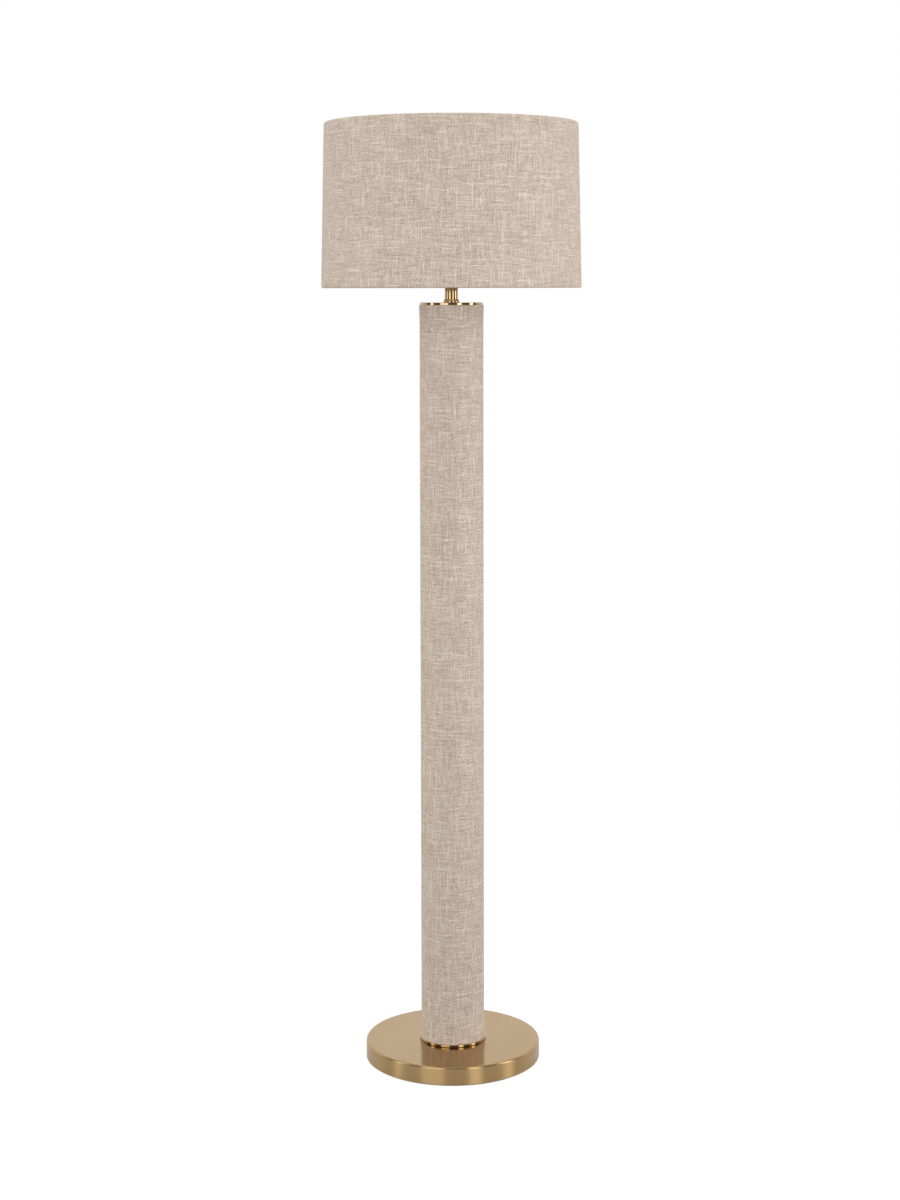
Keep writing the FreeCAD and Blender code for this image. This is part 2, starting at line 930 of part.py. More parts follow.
def bulb_glass():
    inner = bulb_radius - bulb_wall
    middle = (90 + bulb_split_angle) / 2
    edges = [
        Part.Arc(globe_point(bulb_radius, bulb_split_angle), globe_point(bulb_radius, middle),
                 globe_point(bulb_radius, 90)).toShape(),
        Part.makeLine(globe_point(bulb_radius, 90), globe_point(inner, 90)),
        Part.Arc(globe_point(inner, 90), globe_point(inner, middle),
                 globe_point(inner, bulb_split_angle)).toShape(),
        Part.makeLine(globe_point(inner, bulb_split_angle), globe_point(bulb_radius, bulb_split_angle)),
    ]
    dome = turned_face(edges)
    split = globe_point(bulb_radius, bulb_split_angle).z
    below = Part.makeCylinder(bulb_radius, bulb_radius, FreeCAD.Vector(0, 0, split - bulb_radius))
    return dome.cut(below)


pieces = {
    "floor_pad": floor_pad(),
    "base_plate": base_plate(),
    "plate_screws": plate_screws(),
    "base_weight": base_weight(),
    "base_cover": base_cover(),
    "cord_bush": cord_bush(),
    "tie_rod": tie_rod(),
    "base_washer": ring(base_washer_radius, rod_hole_radius, base_washer_bottom(), washer_thickness),
    "base_nut": hex_nut(base_washer_bottom() - nut_height),
    "foot_ring": foot_ring(),
    "foot_plug": plug(column_bottom),
    "column_tube": column_tube(),
    "column_linen": column_linen(),
    "head_plug": plug(column_top - plug_thickness),
    "column_cap": column_cap(),
    "column_washer": ring(column_washer_radius, rod_hole_radius, neck_bottom, washer_thickness),
    "column_nut": hex_nut(neck_bottom + washer_thickness),
    "neck_tube": neck_tube(),
    "neck_collar": neck_collar(),
    "lock_washer": lock_washer(),
    "holder_cap": holder_cap(),
    "grub_screw": grub_blank(grub_slot),
    "holder_body": holder_body(),
    "contact_block": contact_block(),
    "screw_shell": screw_shell(),
    "centre_contact": centre_contact(),
    "contact_rivet": contact_rivet(),
    "terminals": terminals(),
    "terminal_screws": terminal_screws(),
    "switch_bar": switch_bar(),
    "switch_knobs": switch_knobs(),
    "lower_shade_ring": shade_ring(lower_ring_bottom),
    "clamp_ring": shade_ring(clamp_ring_bottom),
    "carrier_ring": carrier_ring(),
    "carrier_arms": carrier_arms(),
    "shade_bottom_wire": wire_ring(hem_radius()),
    "shade_top_wire": wire_ring(shade_length() - hem_radius()),
    "shade_lining": shade_lining(),
    "shade_linen": shade_linen(),
    "bulb_contact": bulb_contact(),
    "bulb_insulator": bulb_insulator(),
    "bulb_cap": bulb_cap(),
    "bulb_body": bulb_body(),
    "bulb_glass": bulb_glass(),
}

os.makedirs("parts", exist_ok=True)
for name, shape in pieces.items():
    shape.exportStep("parts/" + name + ".step")
    print(name, len(shape.Solids), "solid(s)", round(shape.Volume / 1000, 2), "cm3", shape.isValid())
print("height", round(pieces["shade_linen"].BoundBox.ZMax, 2))
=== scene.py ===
import bpy
import bmesh
import math
from mathutils import Matrix, Vector


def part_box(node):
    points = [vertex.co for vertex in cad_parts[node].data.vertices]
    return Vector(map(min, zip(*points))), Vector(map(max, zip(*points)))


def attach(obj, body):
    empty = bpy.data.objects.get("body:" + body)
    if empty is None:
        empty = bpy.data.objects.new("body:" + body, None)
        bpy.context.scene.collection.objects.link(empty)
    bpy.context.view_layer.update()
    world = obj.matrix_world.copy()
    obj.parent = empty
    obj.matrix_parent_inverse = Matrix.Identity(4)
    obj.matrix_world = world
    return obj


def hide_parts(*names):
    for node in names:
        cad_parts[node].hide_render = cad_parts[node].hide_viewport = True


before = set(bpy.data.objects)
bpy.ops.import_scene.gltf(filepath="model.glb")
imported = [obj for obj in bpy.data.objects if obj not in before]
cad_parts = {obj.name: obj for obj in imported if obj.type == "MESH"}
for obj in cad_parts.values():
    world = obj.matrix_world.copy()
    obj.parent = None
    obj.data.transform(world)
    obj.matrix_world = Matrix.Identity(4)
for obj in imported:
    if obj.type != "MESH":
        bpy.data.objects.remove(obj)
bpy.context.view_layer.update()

mm = 0.001
sharpAngle = math.radians(32)       # steeper edges than this stay crisp


class Link:     # an output socket, so that maths on it can be written as an expression
    def __init__(self, tree, socket):
        self.tree = tree
        self.socket = socket

    def also(self, output):
        return Link(self.tree, self.socket.node.outputs[output])

    def maths(self, operation, *others):
        values = {i: value for i, value in enumerate((self,) + others)}
        return self.tree.add("ShaderNodeMath", {"operation": operation}, values)

    def swapped(self, operation, other):        # the plain value comes first
        return self.tree.add("ShaderNodeMath", {"operation": operation}, {0: other, 1: self})

    def __add__(self, other):
        return self.maths("ADD", other)

    def __radd__(self, other):
        return self.swapped("ADD", other)

    def __sub__(self, other):
        return self.maths("SUBTRACT", other)

    def __rsub__(self, other):
        return self.swapped("SUBTRACT", other)

    def __mul__(self, other):
        return self.maths("MULTIPLY", other)

    def __rmul__(self, other):
        return self.swapped("MULTIPLY", other)

    def __truediv__(self, other):
        return self.maths("DIVIDE", other)

    def __rtruediv__(self, other):
        return self.swapped("DIVIDE", other)

    def __gt__(self, other):
        return self.maths("GREATER_THAN", other)


class Tree:     # one node tree, with one method that adds any node
    def __init__(self, tree):
        self.tree = tree
        tree.nodes.clear()

    def add(self, kind, settings=None, inputs=None, output=0):
        node = self.tree.nodes.new(kind)
        for name, value in (settings or {}).items():
            if name == "stops":
                self.setStops(node.color_ramp, value)
            else:
                setattr(node, name, value)
        for name, value in (inputs or {}).items():
            if isinstance(value, Link):
                self.tree.links.new(value.socket, node.inputs[name])
            elif isinstance(value, list):       # several links into one socket
                for link in reversed(value):
                    self.tree.links.new(link.socket, node.inputs[name])
            else:
                node.inputs[name].default_value = value
        if not node.outputs:
            return node
        return Link(self, node.outputs[output])

    def setStops(self, ramp, stops):
        while len(ramp.elements) < len(stops):
            ramp.elements.new(0.5)
        for element, (place, colour) in zip(ramp.elements, stops):
            element.position = place
            element.color = (*colour, 1)

    def mix(self, factor, first, second):
        inputs = {0: factor, 6: asColour(first), 7: asColour(second)}
        return self.add("ShaderNodeMix", {"data_type": "RGBA"}, inputs, 2)

    def smooth(self, value, low, high):     # 0 below low, 1 above high, eased between
        inputs = {"Value": value, "From Min": low, "From Max": high}
        return self.add("ShaderNodeMapRange", {"interpolation_type": "SMOOTHSTEP"}, inputs)

    def vector(self, x, y, z=0.0):
        return self.add("ShaderNodeCombineXYZ", {}, {"X": x, "Y": y, "Z": z})

    def noise(self, vector, scale, detail=2.0, roughness=0.5, dimensions="3D"):
        inputs = {"Vector": vector, "Scale": scale, "Detail": detail, "Roughness": roughness}
        return self.add("ShaderNodeTexNoise", {"noise_dimensions": dimensions}, inputs)

    def bump(self, height, strength, distance):
        inputs = {"Height": height, "Strength": strength, "Distance": distance}
        return self.add("ShaderNodeBump", {}, inputs)


def asColour(value):
    return (*value, 1) if isinstance(value, tuple) and len(value) == 3 else value


class Finish(Tree):     # a material with its tree
    def __init__(self, name):
        self.material = bpy.data.materials.new(name)
        self.material.use_nodes = True
        super().__init__(self.material.node_tree)

    def objectSpace(self):
        return self.add("ShaderNodeTexCoord", {}, {}, "Object")

    def principled(self, **inputs):
        sockets = {
            "colour": "Base Color", "metallic": "Metallic", "roughness": "Roughness", "normal": "Normal",
            "specular": "Specular IOR Level", "anisotropy": "Anisotropic",
            "grainTurn": "Anisotropic Rotation", "sheen": "Sheen Weight",
            "sheenRoughness": "Sheen Roughness", "sheenTint": "Sheen Tint", "coat": "Coat Weight",
            "coatRoughness": "Coat Roughness", "under": "Subsurface Weight",
            "underRadius": "Subsurface Radius", "underScale": "Subsurface Scale",
        }
        values = {}
        for name, value in inputs.items():
            isLength = name == "underRadius"        # three lengths, not a colour
            values[sockets[name]] = value if isLength else asColour(value)
        shader = self.add("ShaderNodeBsdfPrincipled", {}, values)
        self.add("ShaderNodeOutputMaterial", {}, {"Surface": shader})
        return self.material


class Shape(Tree):      # a geometry tree with named inputs, run once on a mesh
    def __init__(self, name, sizes):
        self.group = bpy.data.node_groups.new(name, "GeometryNodeTree")
        super().__init__(self.group)
        self.group.interface.new_socket("Geometry", in_out="INPUT", socket_type="NodeSocketGeometry")
        for label, value in sizes.items():
            kind = "NodeSocketInt" if isinstance(value, int) else "NodeSocketFloat"
            self.group.interface.new_socket(label, in_out="INPUT", socket_type=kind)
        self.group.interface.new_socket("Geometry", in_out="OUTPUT", socket_type="NodeSocketGeometry")
        self.sizes = sizes
        self.start = self.add("NodeGroupInput")

    def finish(self, geometry, material):
        real = self.add("GeometryNodeRealizeInstances", {}, {"Geometry": geometry})
        painted = self.add("GeometryNodeSetMaterial", {}, {"Geometry": real, "Material": material})
        self.add("NodeGroupOutput", {}, {"Geometry": painted})

    def runOn(self, piece):
        modifier = piece.modifiers.new(self.group.name, "NODES")
        modifier.node_group = self.group
        for item in self.group.interface.items_tree:
            if item.in_out == "INPUT" and item.name in self.sizes:
                modifier[item.identifier] = self.sizes[item.name]
        bpy.context.view_layer.update()
        evaluated = piece.evaluated_get(bpy.context.evaluated_depsgraph_get())
        made = bpy.data.meshes.new_from_object(evaluated)
        piece.modifiers.clear()
        piece.data = made
        piece.data.name = piece.name


def radiusOf(node):
    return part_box(node)[1].x


def bottomOf(node):
    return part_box(node)[0].z


def topOf(node):
    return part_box(node)[1].z


def rounded(corners, steps=6, support=0.25 * mm):
    # points through (radius, height) corners; a third number rounds that corner, and a point
    # a support's length past each end of the rounding keeps the flats beside it flat
    points = []
    for i, corner in enumerate(corners):
        here = Vector(corner[:2])
        if len(corner) < 3:
            points.append(here)
            continue
        back = Vector(corners[i - 1][:2]) - here
        ahead = Vector(corners[(i + 1) % len(corners)][:2]) - here
        half = back.angle(ahead) / 2
        reach = corner[2] / math.tan(half)
        middle = here + (back.normalized() + ahead.normalized()).normalized() * (corner[2] / math.sin(half))
        start = here + back.normalized() * reach - middle
        end = here + ahead.normalized() * reach - middle
        sweep = math.atan2(start.x * end.y - start.y * end.x, start.dot(end))
        if back.length > reach + 2 * support:
            points.append(here + back.normalized() * (reach + support))
        for step in range(steps + 1):
            turn = sweep * step / steps
            spun = Vector((start.x * math.cos(turn) - start.y * math.sin(turn),
                           start.x * math.sin(turn) + start.y * math.cos(turn)))
            points.append(middle + spun)
        if ahead.length > reach + 2 * support:
            points.append(here + ahead.normalized() * (reach + support))
    return points


def evenAngles(count):
    return [2 * math.pi * i / count for i in range(count)]


def turned(name, points, angles, shift=None):
    # a closed outline of (radius, height) points, turned about the vertical axis and mapped in metres
    mesh = bpy.data.meshes.new(name)
    builder = bmesh.new()
    weave = builder.loops.layers.uv.new("weave")
    outerRadius = max(point.x for point in points)
    along = [0.0]
    for i in range(len(points)):
        along.append(along[-1] + (points[(i + 1) % len(points)] - points[i]).length)
    rings = []
    for point in points:
        if point.x < 0.0001 * mm:       # on the axis, so one vertex serves all angles
            rings.append([builder.verts.new((0, 0, point.y))] * len(angles))
            continue
        ringVerts = []
        for angle in angles:
            radius, height = (point.x, point.y) if shift is None else shift(point, angle)
            ringVerts.append(builder.verts.new((radius * math.cos(angle), radius * math.sin(angle), height)))
        rings.append(ringVerts)
    for i in range(len(points)):
        lower = rings[i]
        upper = rings[(i + 1) % len(points)]
        if lower[0] is lower[-1] and upper[0] is upper[-1]:
            continue
        for j in range(len(angles)):
            k = (j + 1) % len(angles)
            nextAngle = angles[k] if k else angles[0] + 2 * math.pi
            # a vertex, its angle, and which of the two rings it is on
            corners = [(lower[j], angles[j], 0), (lower[k], nextAngle, 0),
                       (upper[k], nextAngle, 1), (upper[j], angles[j], 1)]
            kept = []
            for corner in corners:
                if corner[0] not in [other[0] for other in kept]:
                    kept.append(corner)
            face = builder.faces.new([corner[0] for corner in kept])
            face.smooth = True
            for loop, corner in zip(face.loops, kept):
                loop[weave].uv = (corner[1] * outerRadius, along[i + corner[2]])
    bmesh.ops.recalc_face_normals(builder, faces=builder.faces)
    builder.to_mesh(mesh)
    builder.free()
    mesh.set_sharp_from_angle(angle=sharpAngle)
    piece = bpy.data.objects.new(name, mesh)
    bpy.context.scene.collection.objects.link(piece)
    return piece


def circleOutline(radius, height, thickness, count=16):
    # the section of a wire ring
    angles = evenAngles(count)
    return [Vector((radius + thickness * math.cos(a), height + thickness * math.sin(a))) for a in angles]


def rod(name, start, end, radius, sides=20):
    # a round bar between two points
    axis = Vector(end) - Vector(start)
    piece = turned(name, [Vector((0, 0)), Vector((radius, 0)), Vector((radius, axis.length)),
                          Vector((0, axis.length))], evenAngles(sides))
    spin = Vector((0, 0, 1)).rotation_difference(axis).to_matrix().to_4x4()
    piece.data.transform(Matrix.Translation(start) @ spin)
    return piece


def dress(piece, body, slot, node):
    # everything that makes a mesh a piece of the lamp, in the place of a solid
    piece.data.materials.clear()
    piece.data.materials.append(finishes[slot])
    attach(piece, body)
    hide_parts(node)
    return piece


linenLook = dict(
    pitch=1.25 * mm,            # from thread to thread
    wander=2 * mm,              # threads stray by up to half of this
    wanderScale=9,
    toneLength=30 * mm,         # a yarn's tone drifts over this length
    slubLength=44 * mm,
    slubStart=(0.60, 0.74),     # noise above this is a thick pale slub
    leanStart=(0.38, 0.22),     # noise below this is a thin dark stretch
    fleckSize=1.9 * mm,
    hueSize=1.8 * mm,
    hueShare=0.60,
    twoTone=0.10,               # the warp is paler than the weft
    toneShare=0.78,
    knotShare=0.26,
    fleckShare=0.62,
    slubShare=0.19,
    leanShare=0.08,
    gapShadeShare=0.16,              # painted shade: each yarn is darker at its edges and in the holes between yarns
    gapShadeLevel=0.105,
    bumpStrength=0.5,
    bumpDepth=0.28 * mm,
    roughness=0.88,
    specular=0.22,
    sheen=0.35,
    sheenRoughness=0.45,
    sheenTint=(0.95, 0.86, 0.77),
    shadow=(0.275, 0.190, 0.128),
    deep=(0.440, 0.338, 0.258),
    middle=(0.622, 0.510, 0.418),
    light=(0.745, 0.640, 0.542),
    cream=(0.900, 0.840, 0.745),
    ochre=(0.600, 0.460, 0.310),
    mauve=(0.560, 0.455, 0.425),
)


def linenCloth(look):
    # plain weave of uneven yarn, on the cloth's own map in metres, with painted shade and highlight on each
    # yarn
    net = Finish("linenCloth")
    weave = net.add("ShaderNodeUVMap", {"uv_map": "weave"})
    stray = net.noise(weave, look["wanderScale"], 1).also("Color")
    drift = net.add("ShaderNodeVectorMath", {"operation": "SUBTRACT"}, {0: stray, 1: (0.5, 0.5, 0.5)})
    drift = net.add("ShaderNodeVectorMath", {"operation": "SCALE"}, {0: drift, "Scale": look["wander"]})
    place = net.add("ShaderNodeVectorMath", {"operation": "ADD"}, {0: weave, 1: drift})
    across = net.add("ShaderNodeSeparateXYZ", {}, {"Vector": place})
    upward = across.also("Y")
    warpCount = across / look["pitch"]
    weftCount = upward / look["pitch"]
    warpNumber = warpCount.maths("FLOOR")
    weftNumber = weftCount.maths("FLOOR")
    warpSide = (warpCount - warpNumber) * 2 - 1
    weftSide = (weftCount - weftNumber) * 2 - 1
    warpRound = 1 - warpSide * warpSide
    weftRound = 1 - weftSide * weftSide
    over = (warpNumber + weftNumber).maths("MODULO", 2.0).maths("ABSOLUTE") > 0.5
    under = 1 - over

    # each yarn has its own tone, which drifts along its length; odd steps keep neighbours unlike
    length = look["toneLength"]
    warpTone = net.noise(net.vector(warpNumber * 7.31, upward / length), 1, 2, 0.6, "2D")
    weftTone = net.noise(net.vector(across / length, weftNumber * 5.17 + 40), 1, 2, 0.6, "2D")
    tone = warpTone * over + weftTone * under
    crossing = net.vector(warpNumber, weftNumber)
    knot = net.add("ShaderNodeTexWhiteNoise", {"noise_dimensions": "2D"}, {"Vector": crossing})

    # thick pale slubs and thin dark stretches
    length = look["slubLength"]
    warpYarn = net.noise(net.vector(warpNumber * 13.7 + 0.4, upward / length), 1, 1, 0.4, "2D")
    weftYarn = net.noise(net.vector(across / length + 9, weftNumber * 11.3 + 31.6), 1, 1, 0.4, "2D")
    warpSlub = net.smooth(warpYarn, *look["slubStart"])
    weftSlub = net.smooth(weftYarn, *look["slubStart"])
    warpLean = net.smooth(warpYarn, *look["leanStart"])
    weftLean = net.smooth(weftYarn, *look["leanStart"])
    slub = warpSlub.maths("MAXIMUM", weftSlub)
    lean = warpLean.maths("MAXIMUM", weftLean)
    fleck = net.noise(weave, 1 / look["fleckSize"], 2, 0.7)

    level = 0.5 + (over - 0.5) * look["twoTone"]
    level = level + (tone - 0.5) * look["toneShare"]
    level = level + (knot - 0.5) * look["knotShare"]
    level = level + (fleck - 0.5) * look["fleckShare"]
    level = level + slub * look["slubShare"] - lean * look["leanShare"]
    # painted shade and highlight: yarns darker at their edges and in the holes, paler on their crowns
    yarnTop = warpRound * over + weftRound * under
    gap = yarnTop * look["gapShadeShare"] - look["gapShadeLevel"]
    ramp = net.add("ShaderNodeValToRGB", {"stops": [
        (0.12, look["shadow"]), (0.32, look["deep"]), (0.50, look["middle"]),
        (0.68, look["light"]), (0.92, look["cream"]),
    ]}, {"Fac": level + gap})
    hue = net.noise(weave, 1 / look["hueSize"], 2, 0.6)
    warm = net.smooth(hue, 0.52, 0.74)
    cool = net.smooth(hue, 0.48, 0.26)
    colour = net.mix(warm * look["hueShare"], ramp, look["ochre"])
    colour = net.mix(cool * look["hueShare"], colour, look["mauve"])
    normal = net.bump(yarnTop + slub * 0.8, look["bumpStrength"], look["bumpDepth"])
    return net.principled(colour=colour, roughness=look["roughness"], normal=normal,
                          specular=look["specular"], sheen=look["sheen"],
                          sheenRoughness=look["sheenRoughness"], sheenTint=look["sheenTint"])


satinLook = dict(
    colour=(0.448, 0.303, 0.143),
    shade=(0.425, 0.280, 0.124),
    brushed=(0.520, 0.375, 0.205),
    topRoughness=0.13,          # the top shows a soft mirror image
    wallRoughness=0.30,         # the wall draws lights out into upright bands
    wallStart=1.0 * mm,         # how far below the top the wall's finish starts
    wallBlend=0.8 * mm,
    brushing=0.35 * mm,         # width of the brush's lines
    brushDepth=0.02 * mm,
    anisotropy=0.98,
    grainTurn=0.25,
)


def satinBrass(look):
    # brushed in rings about the axis
    net = Finish("satinBrass")
    place = net.objectSpace()
    x = net.add("ShaderNodeSeparateXYZ", {}, {"Vector": place})
    y = x.also("Y")
    z = x.also("Z")
    radius = (x * x + y * y).maths("SQRT")
    angle = y.maths("ARCTAN2", x)
    lines = net.noise(net.vector((radius + z) / look["brushing"], angle * 3), 1, 3, 0.6, "2D")
    cloudy = net.noise(place, 14, 3)
    wallTop = topOf("base_cover") - look["wallStart"]
    wall = net.smooth(z, wallTop, wallTop - look["wallBlend"])
    roughness = look["topRoughness"] + wall * (look["wallRoughness"] - look["topRoughness"])
    roughness = roughness + (lines - 0.5) * 0.04 + (cloudy - 0.5) * 0.03
    tint = net.mix(net.smooth(cloudy, 0.35, 0.70) * 0.5, look["colour"], look["shade"])
    tint = net.mix(net.smooth(lines, 0.55, 0.80) * 0.35, tint, look["brushed"])
    normal = net.bump(lines, 0.03, look["brushDepth"])
    return net.principled(colour=tint, metallic=1.0, roughness=roughness, normal=normal,
                          anisotropy=look["anisotropy"], grainTurn=look["grainTurn"])


polishedLook = dict(
    colour=(0.460, 0.315, 0.155),
    shade=(0.410, 0.265, 0.115),
    roughness=0.08,
    smudgeRoughness=0.06,
    coat=0.6,
    coatRoughness=0.05,
)


def polishedBrass(look):
    # smudged here and there, under a clear lacquer
    net = Finish("polishedBrass")
    smudge = net.noise(net.objectSpace(), 60, 3, 0.6)
    roughness = look["roughness"] + net.smooth(smudge, 0.4, 0.8) * look["smudgeRoughness"]
    tint = net.mix(net.smooth(smudge, 0.3, 0.75), look["colour"], look["shade"])
    return net.principled(colour=tint, metallic=1.0, roughness=roughness,
                          coat=look["coat"], coatRoughness=look["coatRoughness"])


def metal(name, colour, spots, roughness, grain, bumpDepth=0.03 * mm, bumpStrength=0.2):
    # a plated or machined metal with cloudy patches and a fine grain
    net = Finish(name)
    place = net.objectSpace()
    cloud = net.noise(place, 90, 3, 0.6)
    fine = net.noise(place, grain, 2)
    tint = net.mix(net.smooth(cloud, 0.35, 0.75) * 0.6, colour, spots)
    return net.principled(colour=tint, metallic=1.0, roughness=roughness + (cloud - 0.5) * 0.16,
                          normal=net.bump(fine, bumpStrength, bumpDepth))


metals = dict(
    holder_brass=dict(name="holderBrass", colour=(0.560, 0.410, 0.230), spots=(0.500, 0.350, 0.180),
                      roughness=0.24, grain=1200),
    contact_brass=dict(name="contactBrass", colour=(0.660, 0.470, 0.220), spots=(0.520, 0.340, 0.140),
                       roughness=0.32, grain=900),
    zinc_steel=dict(name="zincSteel", colour=(0.560, 0.550, 0.520), spots=(0.470, 0.460, 0.400),
                    roughness=0.38, grain=700),
    iron=dict(name="castIron", colour=(0.065, 0.062, 0.060), spots=(0.110, 0.075, 0.055),
              roughness=0.66, grain=260, bumpDepth=0.5 * mm, bumpStrength=0.7),
    solder=dict(name="solderTip", colour=(0.580, 0.580, 0.570), spots=(0.420, 0.420, 0.410),
                roughness=0.34, grain=500, bumpDepth=0.2 * mm, bumpStrength=0.5),
    nickel=dict(name="nickelPlate", colour=(0.640, 0.620, 0.580), spots=(0.560, 0.530, 0.480),
                roughness=0.22, grain=900),
)


def moulded(name, colour, paler, roughness, grain=1400, bumpDepth=0.03 * mm):
    # plastic, rubber, enamel or glaze: slight mottling and a fine skin
    net = Finish(name)
    place = net.objectSpace()
    cloud = net.noise(place, 45, 3, 0.55)
    skin = net.noise(place, grain, 2)
    tint = net.mix(net.smooth(cloud, 0.3, 0.75), colour, paler)
    return net.principled(colour=tint, roughness=roughness + (cloud - 0.5) * 0.12, specular=0.5,
                          normal=net.bump(skin, 0.25, bumpDepth))


mouldings = dict(
    black_rubber=dict(name="blackRubber", colour=(0.020, 0.020, 0.021), paler=(0.040, 0.040, 0.042),
                      roughness=0.62, grain=900),
    black_plastic=dict(name="blackPlastic", colour=(0.016, 0.016, 0.017), paler=(0.028, 0.028, 0.030),
                       roughness=0.34),
    porcelain=dict(name="glazedPorcelain", colour=(0.760, 0.740, 0.690), paler=(0.820, 0.805, 0.765),
                   roughness=0.16, grain=260),
    white_wire=dict(name="whiteEnamelWire", colour=(0.700, 0.690, 0.660), paler=(0.760, 0.750, 0.725),
                    roughness=0.36, grain=500, bumpDepth=0.08 * mm),
    black_glass=dict(name="blackGlass", colour=(0.012, 0.012, 0.016), paler=(0.022, 0.022, 0.028),
                     roughness=0.10, grain=300),
    bulb_plastic=dict(name="bulbPlastic", colour=(0.780, 0.770, 0.745), paler=(0.820, 0.812, 0.790),
                      roughness=0.40),
)

liningLook = dict(colour=(0.800, 0.775, 0.720), paler=(0.840, 0.820, 0.775), roughness=0.42, grain=700,
                  bumpDepth=0.04 * mm, glow=0.25, glowDepth=(4 * mm, 3 * mm, 2 * mm))


def liningSheet(look):
    # white plastic sheet that backs the cloth, faintly mottled and a little translucent
    net = Finish("liningSheet")
    place = net.objectSpace()
    broad = net.noise(place, 9, 2)
    fine = net.noise(place, look["grain"], 1)
    tint = net.mix(broad, look["colour"], look["paler"])
    return net.principled(colour=tint, roughness=look["roughness"] + fine * 0.12, specular=0.4,
                          normal=net.bump(fine, 0.12, look["bumpDepth"]), under=look["glow"],
                          underRadius=look["glowDepth"], underScale=1.0)


cardLook = dict(colour=(0.300, 0.205, 0.125), paler=(0.430, 0.315, 0.205), joint=(0.120, 0.075, 0.045),
                wind=140 * mm, grain=800, roughness=0.85, bumpDepth=0.05 * mm)


def tubeCard(look):
    # wound board: spiral joints, flecks
    net = Finish("tubeCard")
    place = net.objectSpace()
    x = net.add("ShaderNodeSeparateXYZ", {}, {"Vector": place})
    angle = x.also("Y").maths("ARCTAN2", x)
    turn = (x.also("Z") / look["wind"] + angle / (2 * math.pi)).maths("FRACT")
    joint = net.smooth((turn - 0.5).maths("ABSOLUTE"), 0.488, 0.497)
    fleck = net.noise(place, look["grain"], 3, 0.7)
    tint = net.mix(fleck, look["colour"], look["paler"])
    tint = net.mix(joint * 0.7, tint, look["joint"])
    return net.principled(colour=tint, roughness=look["roughness"], specular=0.2,
                          normal=net.bump(fleck, 0.3, look["bumpDepth"]))


plyLook = dict(colour=(0.420, 0.270, 0.140), paler=(0.640, 0.470, 0.290), glueLayer=(0.300, 0.180, 0.090),
               layer=1.5 * mm, grain=(9.0, 160.0, 160.0), roughness=0.7, bumpDepth=0.1 * mm)


def plywood(look):
    # layers one above the other, with a long grain
    net = Finish("plywood")
    place = net.objectSpace()
    z = net.add("ShaderNodeSeparateXYZ", {}, {"Vector": place}, "Z")
    layer = (z / look["layer"]).maths("FLOOR").maths("MODULO", 2.0).maths("ABSOLUTE")
    stretched = net.add("ShaderNodeMapping", {}, {"Vector": place, "Scale": look["grain"]})
    grain = net.noise(stretched, 1, 4, 0.6)
    tint = net.mix(grain, look["colour"], look["paler"])
    tint = net.mix(layer * 0.35, tint, look["glueLayer"])
    return net.principled(colour=tint, roughness=look["roughness"], specular=0.3,
                          normal=net.bump(grain, 0.3, look["bumpDepth"]))


foamLook = dict(colour=(0.018, 0.018, 0.019), paler=(0.055, 0.055, 0.057), cells=700, roughness=0.95,
                bumpDepth=0.4 * mm)


def foamRing(look):
    # soft black foam with open cells
    net = Finish("foamRing")
    cellInputs = {"Vector": net.objectSpace(), "Scale": look["cells"]}
    cell = net.add("ShaderNodeTexVoronoi", {}, cellInputs, "Distance")
    tint = net.mix(net.smooth(cell, 0.1, 0.7), look["colour"], look["paler"])
    return net.principled(colour=tint, roughness=look["roughness"], specular=0.15,
                          normal=net.bump(cell, 0.8, look["bumpDepth"]))


opalLook = dict(colour=(0.860, 0.850, 0.820), paler=(0.900, 0.890, 0.865), roughness=0.32, grain=350,
                bumpDepth=0.02 * mm, coat=0.25, coatRoughness=0.12, glow=0.4,
                glowDepth=(6 * mm, 5 * mm, 4 * mm))


def opalGlass(look):
    # a frosted white globe
    net = Finish("opalGlass")
    frost = net.noise(net.objectSpace(), look["grain"], 2)
    tint = net.mix(frost, look["colour"], look["paler"])
    return net.principled(colour=tint, roughness=look["roughness"] + frost * 0.1, specular=0.5,
                          coat=look["coat"], coatRoughness=look["coatRoughness"], under=look["glow"],
                          underRadius=look["glowDepth"], underScale=1.0,
                          normal=net.bump(frost, 0.05, look["bumpDepth"]))


finishes = dict(
    linen=linenCloth(linenLook),
    lining=liningSheet(liningLook),
    satin_brass=satinBrass(satinLook),
    polished_brass=polishedBrass(polishedLook),
    foam=foamRing(foamLook),
    tube_card=tubeCard(cardLook),
    plywood=plywood(plyLook),
    opal=opalGlass(opalLook),
)
for slotName, look in metals.items():
    finishes[slotName] = metal(**look)
for slotName, look in mouldings.items():
    finishes[slotName] = moulded(**look)
print("finishes", len(finishes))


cameraSizes = dict(
    distance=3.600,
    height=1.320,
    pitch=3.511,                # degrees below the horizon
    roll=0.109,
    lens=63.731,
    shiftX=-0.00114,
    shiftY=-0.15,
)
softboxSizes = dict(
    distance=2.7,
    bottom=0.06,
    top=2.85,
    lamps=[                     # azimuth and width in degrees, strength
        (-74, 11, 3.1),
        (-26, 29, 2.15),
        (29, 15, 3.5),
        (76, 14, 4.1),
    ],
)
roomLook = dict(
    studio=0.13,                # the dim room in front of the lamp
    ceiling=0.75,
    ceilingEdges=(0.55, 0.95),
    lightEdges=(-0.80, -0.05),  # how far round the backdrop lights dull things
    mirrorEdges=(0.05, 0.45),   # and how far round metal shows it
)
floorLook = dict(
    radius=14.0,
    shade=0.27,                 # as it lights the lamp
    near=0.40,                  # as the camera sees it, at the lamp's foot
    far=0.02,
    fade=(0.35, 2.2),           # between these distances it turns plain white
    shownDip=0.26,              # how much less white it is at the foot, so that a shadow shows
    mirrorPaintedShade=0.60,             # painted shade: metal mirrors the floor this much darker at the lamp's foot
)


